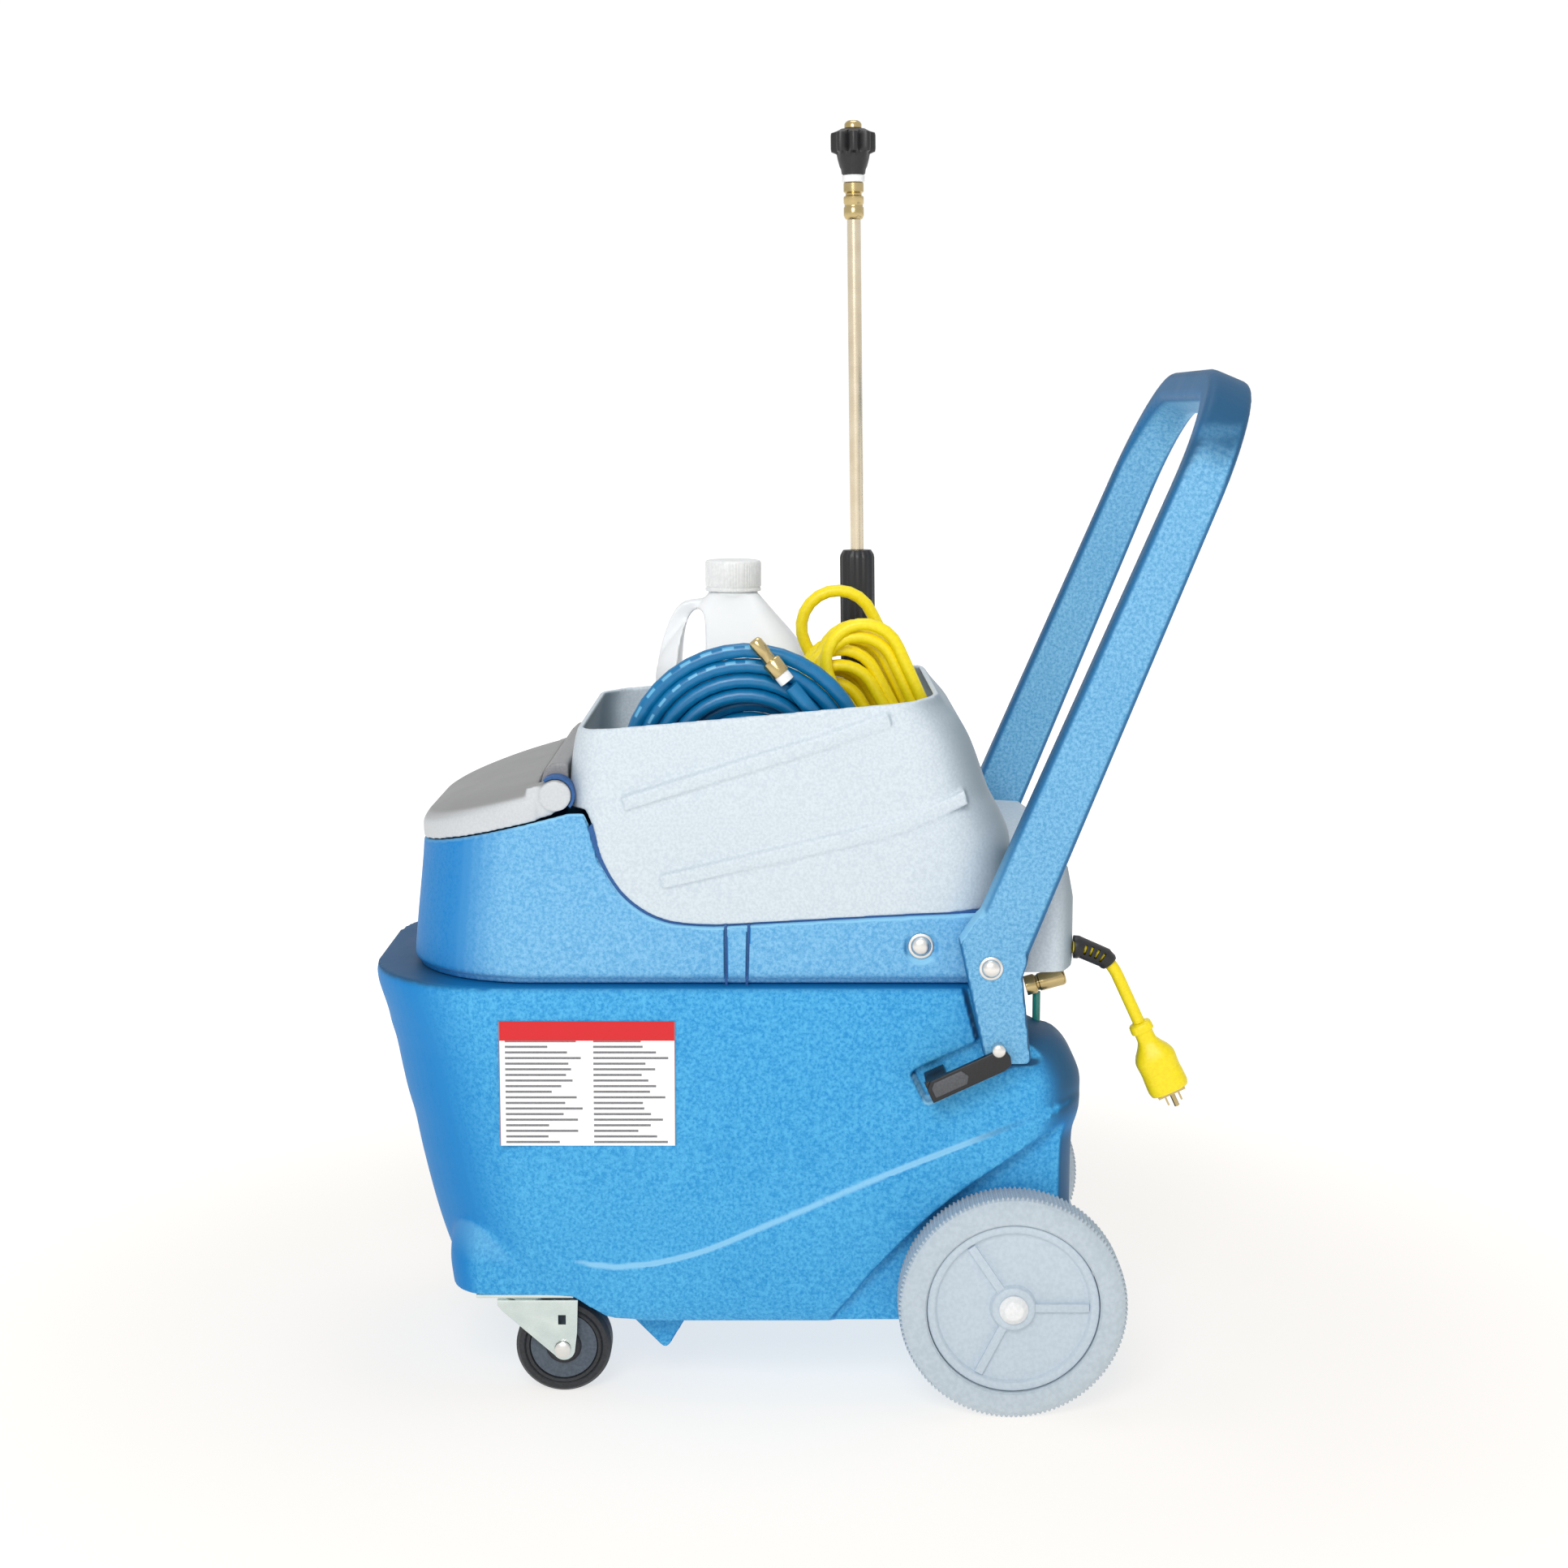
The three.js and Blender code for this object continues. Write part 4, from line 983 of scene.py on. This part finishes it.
def rounded_box(width, depth, radius):
    """Section outline of a bar with rounded corners, as (width-wise, depth-wise) points."""
    out = []
    for cx, cy, start in ((1, 1, 0), (-1, 1, 90), (-1, -1, 180), (1, -1, 270)):
        x, y = cx * (width / 2 - radius), cy * (depth / 2 - radius)
        out += arc(x, y, radius, start, start + 90, 5)
    return out


def make_handle():
    """A U swept from one leg up, round the cross bar and down the other leg."""
    top = HANDLE_LENGTH - HANDLE_THICK / 2
    path = [(HANDLE_MID, h) for h in np.linspace(0, top - HANDLE_BEND, 24)]
    path += arc(HANDLE_MID - HANDLE_BEND, top - HANDLE_BEND, HANDLE_BEND, 5, 90, 18)
    path += [(-y, h) for y, h in path[::-1]]
    up = (sin(HANDLE_LEAN), cos(HANDLE_LEAN))
    rear = (cos(HANDLE_LEAN), -sin(HANDLE_LEAN))
    rings = []
    for i, (y, h) in enumerate(path):
        before, after = path[max(i - 1, 0)], path[min(i + 1, len(path) - 1)]
        ty, th = after[0] - before[0], after[1] - before[1]
        size = hypot(ty, th)
        ny, nh = th / size, -ty / size
        width = HANDLE_LOW + (HANDLE_HIGH - HANDLE_LOW) * h / HANDLE_LENGTH
        ring = []
        for a, b in rounded_box(width, HANDLE_THICK, 7):
            hh = h + b * nh
            ring.append((PIVOT_X + up[0] * hh + rear[0] * a, y + b * ny, PIVOT_Z + up[1] * hh + rear[1] * a))
        rings.append(ring)
    body = stack(rings)
    leg = prism([(170, 455), (153, 430), (176, 325), (180, 322), (213, 322), (216, 326), (208, 400),
                 (213, 416), (190, 440)], 182, 212)
    join(body, *both(leg))
    return soften(body, 2.2, 4)


place(make_handle(), "handle_bar", "handle", BLUE_HANDLE, ["handle"])


def dome_bolt(x, z, face, head):
    """A flanged and domed bolt head on a face at the side."""
    shank = [(head * 0.5, face - 12), (head * 0.5, face + GAP), (head, face + GAP)]
    dome = [(1, 0.9), (0.96, 1.3), (0.8, 1.5), (0.77, 2.4), (0.68, 4.2), (0.5, 5.6), (0.26, 6.3), (0, 6.5)]
    return lathe(shank + [(head * share, face + rise) for share, rise in dome], sideways(x, z), 40)


place_pair(dome_bolt(PIVOT_X, PIVOT_Z, 212, 10.5), "pivot_bolt_head", "chassis", CHROME,
           "handle_pivot_bolt_{side}")
place_pair(dome_bolt(BODY_BOLT_X, BODY_BOLT_Z, 174.4, 11.4), "body_bolt_head", "chassis", CHROME,
           "body_bolt_{side}")

# ---- draw latches
lever = bevelled(at_latch(join(
    prism([(-38, -9.5), (30, -9.5), (38, -7), (40, 0), (38, 8), (34, 9.5), (-32, 9.5), (-38, 4)], 213, 219.5),
    box(-38, -20, 211.4, 217, -9.5, 9.5))), 1.6, 3)
place_pair(lever, "latch_lever_body", "latch_{side}", BLACK, "latch_lever_{side}")
panel = bevelled(at_latch(prism([(-34, -6), (-4, -6), (0, 0), (-4, 7), (-30, 7), (-34, 3)], 218, 220.4)), 0.8)
place_pair(panel, "latch_panel", "latch_{side}", PANEL)
stud = at_latch(lathe([(6, 212.6), (6, 219.8), (5.2, 221.2), (3, 222), (0, 222.2)], sideways(33, 9), 32))
place_pair(stud, "latch_stud", "latch_{side}", CHROME)
base = bevelled(at_latch(box(-37, -18, 178, 211, -8.4, 8.4)), 0.8)
place_pair(base, "latch_base_block", "chassis", BLACK, "latch_base_{side}")


# ---- rear wheels
TREAD_RIBS = 145


def tread(angle, radius):
    """Fine ribs across the tread: every other step of the outline is lower."""
    if radius < WHEEL_R - 0.5:
        return radius
    low = int(round(angle / (2 * pi) * TREAD_RIBS * 4)) % 4 in (0, 1)
    return radius - (1.9 if low else 0.0)


def make_wheel():
    hub_at = sideways(WHEEL_X, WHEEL_Z)
    tyre = lathe([(77, 181), (77, 219.6), (78.5, 221.6), (81, 222), (90, 221.6), (96, 220.2),
                  (WHEEL_R - 2.6, 217.6), (WHEEL_R, 215.5), (WHEEL_R, 184.5), (WHEEL_R - 2.6, 182.4),
                  (96, 179.8), (90, 178.4), (81, 178), (78.5, 178.4)],
                 hub_at, TREAD_RIBS * 4, 30, True, tread)
    disc = turned([(8.4, 180), (8.4, 219.6), (17, 219.6), (19, 218.6), (21, 213.5), (24, 212.4), (64, 212.4),
                   (67.5, 213.2), (69, 216.6), (70.5, 217.4), (75.5, 217.4), (76.4, 216.4), (76.4, 184),
                   (70, 186), (66, 190), (22, 190), (20, 180)], hub_at, 96, True)
    for angle in (0, 124, 243):
        join(disc, swung(box(19, 67, 211, 216.4, -3.6, 3.6), WHEEL_X, WHEEL_Z, radians(angle)))
    return tyre, bevelled(disc, 1.0, 2, 40)


tyre, disc = make_wheel()
place_pair(tyre, "tyre_ribbed", "wheel_{side}", TYRE_GREY, "wheel_tyre_{side}")
place_pair(disc, "wheel_disc", "wheel_{side}", WHEEL_GREY, "wheel_hub_{side}")
cap = lathe([(12.6, 219.9), (13, 221), (12.4, 222.4), (9.6, 223.6), (9, 225.0), (7, 225.8), (0, 226)],
            sideways(WHEEL_X, WHEEL_Z), 40)
place_pair(cap, "axle_cap_dome", "chassis", WHITE, "axle_cap_{side}")
repaint(ZINC, "rear_axle")


# ---- casters
def make_fork():
    """Stamped fork: two cheeks with rounded feet and a square hole, under a crowned top."""
    axle = CASTER_X + CASTER_TRAIL
    front = CASTER_X - 26
    outline = [(front, 90), (front, 85), (CASTER_X - 22, 80)] + arc(axle + 1, CASTER_R, 10, 215, 355, 14)
    outline += [(axle + 13, 60), (axle + 14, 90)]
    cheek = prism(outline, CASTER_Y + 19, CASTER_Y + 21.6)
    cut(cheek, bar_y(axle, CASTER_R, 4.3, CASTER_Y + 10, CASTER_Y + 30),
        box(axle - 4, axle + 3, CASTER_Y + 10, CASTER_Y + 30, 67, 76))
    far = cheek.data.copy()
    far.transform(Matrix.Translation((0, -40.6 * MM, 0)))
    crown = box(front, axle + 14, CASTER_Y - 21.6, CASTER_Y + 21.6, 87.6, 90)
    cut(crown, box(axle - 20, axle + 30, CASTER_Y - 19, CASTER_Y + 19, 76, 96))
    collar = turned([(17, 88), (18.5, 90), (20, 92.2), (0, 92.2)], upright(CASTER_X, CASTER_Y, 0))
    return bevelled(join(crown, cheek, added("cheek", far), collar), 0.7, 2)


def at_caster(u, v, d):
    """For pieces turned on a caster's axle, with the distance counted from the wheel's middle."""
    return (CASTER_X + CASTER_TRAIL + u, CASTER_Y + d, CASTER_R + v)


CASTER_SIDE = [(4.4, 16), (13, 16), (15, 14.6), (17, 10.5), (30.5, 10.5), (31.5, 13), (34, 13.4), (35, 12.4),
               (36.2, 13.6), (40.5, 13.2), (CASTER_R, 9)]
place_pair(make_fork(), "caster_fork_stamped", "caster_fork_{side}", ZINC, "caster_fork_{side}")
race = turned([(20, 92.6), (23.5, 93.2), (25, 95.6), (0, 95.6)], upright(CASTER_X, CASTER_Y, 0))
plate = box(-278, -190, CASTER_Y - 30, CASTER_Y + 30, 95.2, CASTER_PAD - GAP)
place_pair(bevelled(join(plate, race)), "caster_plate_top", "chassis", ZINC, "caster_plate_{side}")
caster = lathe([(r, -d) for r, d in CASTER_SIDE] + CASTER_SIDE[::-1], at_caster, 72, 35, True)
place_pair(caster, "caster_tread", "caster_wheel_{side}", CASTER_BLACK, "caster_wheel_{side}")
hub = lathe([(15.5, 11), (15.5, 12), (30.2, 11.8), (30.2, 11)], at_caster, 60, looped=True)
place_pair(hub, "caster_disc", "caster_wheel_{side}", CASTER_HUB)
nut = lathe([(4, -22), (7, -22.2), (7, -25.4), (5, -26), (0, -26)], at_caster, 6, 20)
axle = lathe([(3, -25), (4, 22.2), (7.4, 22.2), (7, 24.6), (4.6, 26), (0, 26)], at_caster, 32)
place_pair(axle, "caster_bolt", "caster_fork_{side}", CHROME, "caster_axle_{side}")
place_pair(nut, "caster_nut", "caster_fork_{side}", ZINC)


# ---- rear fittings, strain relief and plug
outlet = lathe([(9, 0), (9, 8.6), (8.2, 9.6), (7.2, 10.4), (7.2, 12), (8.2, 13), (8.4, 34), (7.6, 36),
                (6, 37), (5.4, 37), (5.2, 30), (0, 30)], laid(219, -120, 371.5, radians(16)), 40, 40)
sight = lathe([(3.6, 330), (3.6, 364.4), (0, 364.4)], upright(230, -112, 0), 24)
place(outlet, "outlet_fitting", "chassis", BRASS, ["solution_outlet"])
place(sight, "sight_hose", "chassis", sight_plastic(), ["sight_tube"])
repaint(label_film(), "side_label")


def on_cord(distance, across, side):
    """A point beside the pigtail: across in its plane, side along y."""
    x, y, z = cord_at(distance)
    a = cord_heading(distance)
    return (x - across * sin(a), y + side, z + across * cos(a))


def around_cord(profile, sides):
    rings = [[on_cord(d, r * cos(2 * pi * i / sides), r * sin(2 * pi * i / sides))
              for i in range(sides)] for r, d in profile]
    return stack(rings, True)


def make_relief():
    """A tapered boot round the cord, with slots on both faces that show the yellow inside."""
    boot = around_cord([(5.7, 0.8), (10.4, 0.8), (10.4, 5), (9.6, 7), (9.4, 30), (8.8, 32), (8.6, 36),
                        (7.6, 38), (5.7, 38)], 40)
    for start in (9.5, 15.2, 20.9, 26.6):
        for side in (-1, 1):
            rings = [[on_cord(d, a, side * b) for a, b in ((-4.6, 4.2), (4.6, 4.2), (4.6, 14), (-4.6, 14))]
                     for d in (start, start + 1.2, start + 2.4)]
            cut(boot, stack(rings))
    return bevelled(boot, 0.4, 2)


relief = place(make_relief(), "relief_slotted", "chassis", BLACK, ["strain_relief"])
PLUG_AT = laid(*cord_at(CORD_LENGTH), -CORD_TURN)
PLUG_SECTIONS = [
    (0.2, 7.0, 7.0), (2, 10.4, 9.6), (8, 10.8, 10.0), (10, 8.6, 8.4), (17, 8.8, 8.6), (23, 11.5, 10.6),
    (31, 16.8, 14.4), (37, 18.8, 16), (48, 18.2, 15.6), (56, 18.6, 16.1), (64, 18.8, 16.3), (68, 17.8, 15.4),
]


def make_plug():
    """Moulded plug: a neck, a swelling grip with a waist, and a blunt face."""
    stations = [s[0] for s in PLUG_SECTIONS]
    at = np.linspace(stations[0], stations[-1], 60)
    widths, depths = [eased(stations, [s[k] for s in PLUG_SECTIONS], at) for k in (1, 2)]
    rings = []
    for d, w, h in zip(at, widths, depths):
        groove = 0.5 * (0.5 + 0.5 * cos(2 * pi * (d - 40) / 4)) if 38 < d < 54 else 0.0
        ring = []
        for i in range(48):
            a = 2 * pi * i / 48
            c, s = cos(a), sin(a)
            lift = (abs(c) ** 3 + abs(s) ** 3) ** (-1 / 3)
            grip = groove if abs(s) > 0.5 else 0.0
            ring.append(PLUG_AT(c * lift * (w - 0.2), s * lift * (h - grip), d))
        rings.append(ring)
    return smooth_piece(stack(rings), 60)


plug = place(make_plug(), "plug_moulded", "chassis", YELLOW, ["plug_body"])
repaint(BRASS, "plug_prongs")


# ---- hose ends
HOSE_END = laid(6, -157.4, 649, radians(129))


def fitting(profile, at, name, node):
    return place(lathe(profile, at, sharp=40), name, "chassis", BRASS, [node])


hose_end = fitting([(7.4, 13.6), (8.4, 14), (8.6, 27), (7.6, 28.6), (5.6, 29), (5.6, 36), (6.2, 37),
                    (6.2, 49), (5.2, 51), (4, 52), (0, 52)], HOSE_END, "hose_end_fitting", "hose_fitting")
sleeve = place(lathe([(6.7, 5), (7.0, 5.6), (7.0, 12.6), (6.7, 13.4)], HOSE_END, sharp=40), "hose_end_sleeve",
               "chassis", WHITE)
hose_other = fitting([(7, -4), (7, 9), (8, 10.5), (8, 25), (7, 26), (0, 26)], laid(*HOSE_START, pi),
                     "hose_end_coupling", "hose_coupling")


# ---- extension cord ends
END_SHAPE = [(35.2, 0.94), (33, 1.0), (16, 1.0), (9, 0.7), (4, 0.5), (0.6, 0.46)]


def cord_end(name, top, half_x, half_y, node):
    """A moulded cord end standing on the bin floor, its neck up."""
    x, y, z = top
    rings = []
    for drop, size in END_SHAPE:
        outline = rounded_box(2 * half_x * size, 2 * half_y * size, 5 * size)
        rings.append([(x + a, y + b, z - drop) for a, b in outline])
    return place(bevelled(stack(rings), 1.2, 2), name, "chassis", YELLOW, [node])


end_plug = cord_end("extension_plug_moulded", PLUG_TOP, 17, 13, "extension_plug")
end_socket = cord_end("extension_socket_moulded", SOCKET_TOP, 18, 15, "extension_socket")


# ---- jug
JUG_LEVELS = [(0.4, 62), (3, 70), (8, 73), (180, 73), (192, 71.5), (206, 65), (240, 38), (252, 28), (258, 23)]
NECK = [(15, 236), (23.4, 242), (23.4, 270), (0, 270)]
GRIP = [(-73, 140), (-73, 183), (-68, 212), (-58, 238), (-47, 249), (-30, 252)]
GRIP_HOLE = [(-52, 160), (-41, 155), (-30, 158), (-25, 198), (-27, 238), (-37, 242), (-46, 226), (-51, 196),
             (-52, 160)]
JUG_CAP = [(24.9, 260), (26.8, 260), (27, 262), (26.2, 262.6), (26.2, 264), (27, 264.6), (27, 286.6),
           (26, 288.8), (24, 289.5), (0.5, 289.5), (0.5, 286), (24.9, 286)]
CAP_RIBS = 60


def make_jug():
    body = loft(plan(-73, 73, 73, 30, 30), [(z, -r, r, r) for z, r in JUG_LEVELS])
    grip = prism(smooth_line(GRIP, 30) + [(-22, 251), (-22, 140)], -16, 16)
    hole = prism(smooth_line(GRIP_HOLE, 60)[:-1], -80, 80)
    for obj in (body, grip, hole):
        obj.data.transform(Matrix.Translation(Vector((JUG_X, JUG_Y, JUG_Z)) * MM))
    neck = turned(NECK, upright(JUG_X, JUG_Y, JUG_Z), 60)
    return soften(cut(join(body, grip, neck), hole), 1.8, 6)


def cap_ribs(angle, radius):
    return radius - (0.5 if radius > 26 and int(angle / (2 * pi) * 2 * CAP_RIBS) % 2 else 0.0)


place(make_jug(), "jug_bottle", "jug", jug_plastic(), ["jug"])
jug_cap = bevelled(turned(JUG_CAP, upright(JUG_X, JUG_Y, JUG_Z), 2 * CAP_RIBS, True, cap_ribs), 0.3)
place(jug_cap, "jug_cap_ribbed", "jug_cap", WHITE, ["jug_cap"])


# ---- spray wand
def on_wand(u, v, d):
    c, s = cos(WAND_LEAN), sin(WAND_LEAN)
    return (WAND_X + u * c - d * s, WAND_Y + v, WAND_Z + u * s + d * c)


def wand_part(name, node, material, profile, body="wand", sides=48, sharp=40, ripple=None):
    place(lathe(profile, on_wand, sides, sharp, ripple=ripple), name, body, material, [node])


def grip_ribs(angle, radius):
    """Twelve rounded grooves along the grip."""
    return radius if radius < 14.5 else radius - 1.1 * (0.5 - 0.5 * cos(12 * angle)) ** 2


def wing_ripple(angle, radius):
    """Eight rounded wings round the nozzle."""
    return radius if radius < 17 else 14.5 + (radius - 14.5) * (0.5 + 0.5 * cos(8 * angle)) ** 0.6


wand_part("wand_grip_ribbed", "wand_grip", BLACK,
          [(14, 178.4), (15, 179.2), (16.5, 183), (16.5, 291), (16, 294), (13.4, 298.4), (0, 298.6)],
          sides=192, sharp=55, ripple=grip_ribs)
wand_part("wand_rod", "wand_tube", ROD, [(6.4, 299), (6.4, 607), (0, 607)], sides=40)
wand_part("wand_coupling_turned", "wand_coupling", BRASS,
          [(7.4, 607.4), (8.4, 608.4), (9.4, 611), (9.4, 618), (8.6, 619), (8.6, 621), (9.4, 622), (9.4, 628),
           (7.5, 629.4), (7.5, 631), (9.4, 632.6), (9.4, 640.4), (8.6, 641), (0, 641)])
wand_part("wand_collar_ring", "wand_collar", WHITE,
          [(9.8, 641.4), (10.5, 642.2), (10.5, 647.2), (9.8, 648), (0, 648)])
wand_part("wand_nozzle_winged", "wand_nozzle", BLACK,
          [(10, 648.4), (11, 649), (11.6, 653), (13, 656), (14.6, 662), (15.6, 667), (20.5, 669), (21, 672),
           (21, 684), (20.5, 686.4), (15, 688), (11.4, 690), (0, 690)], "wand_nozzle", 96, 50, wing_ripple)
wand_part("wand_tip_turned", "wand_tip", BRASS,
          [(7.4, 690.4), (8, 691), (8, 694.6), (6.6, 696.4), (5, 697.5), (0, 697.5)], "wand_nozzle")
repaint(BLACK, "wand_valve", "wand_trigger", "vacuum_motor", "solution_pump")
repaint(WHITE, "standpipe")
repaint(FLOAT, "shutoff_float")


# ---- floor, backdrop and light
FLOOR_HALF = 30.0


def make_stage():
    """Matt pale paper with a painted glow, weaker near the machine and growing brighter away from it, until
    it is white.
    """
    n = Look("floor_paper_glow")
    n.shade("Base Color", n.mix(n.noise(3.0), (166, 158, 148), (164, 156, 146)))
    n.shade("Roughness", 0.9)
    n.shade("Specular IOR Level", 0.0)
    # Painted light: the floor glows, weaker near the machine so that the lamps' shadows show there.
    n.shade("Emission Color", (1, 1, 1, 1))
    x, y, _ = n.xyz()
    away = n.math("SQRT", n.math("ADD", n.times(x, x), n.times(y, y)))
    n.shade("Emission Strength", n.scaled(n.ramp(away, 0.5, 1.6), 0.7, 1.05))
    mesh = bpy.data.meshes.new("floor")
    mesh.from_pydata([(FLOOR_HALF * a, FLOOR_HALF * b, 0) for a, b in ((-1, -1), (1, -1), (1, 1), (-1, 1))],
                     [], [(0, 1, 2, 3)])
    mesh.materials.append(n.material)
    added("floor", mesh)


def area_light(name, at, target, size, power):
    data = bpy.data.lights.new(name, "AREA")
    data.size = size
    data.energy = power
    light = added(name, data)
    light.location = at
    light.rotation_euler = (Vector(target) - Vector(at)).to_track_quat("-Z", "Y").to_euler()


def make_light():
    """A white studio: bright where it is seen, less bright in gloss, and dim as light."""
    world = bpy.data.worlds.new("studio")
    world.use_nodes = True
    n = Tree(world.node_tree)
    ray = n.add("ShaderNodeLightPath", {}).outputs
    seen = n.math("MAXIMUM", ray["Is Camera Ray"], n.times(ray["Is Glossy Ray"], 0.7))
    lit = n.add("ShaderNodeBackground", {"Color": (0.97, 0.985, 1, 1), "Strength": 0.42}).outputs[0]
    white = n.add("ShaderNodeBackground", {"Color": (1, 1, 1, 1), "Strength": 1.02}).outputs[0]
    mix = n.add("ShaderNodeMixShader", {0: seen, 1: lit, 2: white}).outputs[0]
    n.put(mix, n.tree.nodes["World Output"].inputs["Surface"])
    bpy.context.scene.world = world
    area_light("key", (-0.5, -3.0, 2.3), (0, 0, 0.5), 1.4, 56)
    area_light("top", (0.1, 0.2, 3.0), (0, 0, 0.5), 1.2, 14)


make_stage()
make_light()
bpy.context.scene.view_settings.view_transform = "Standard"
bpy.context.scene.view_settings.look = "None"
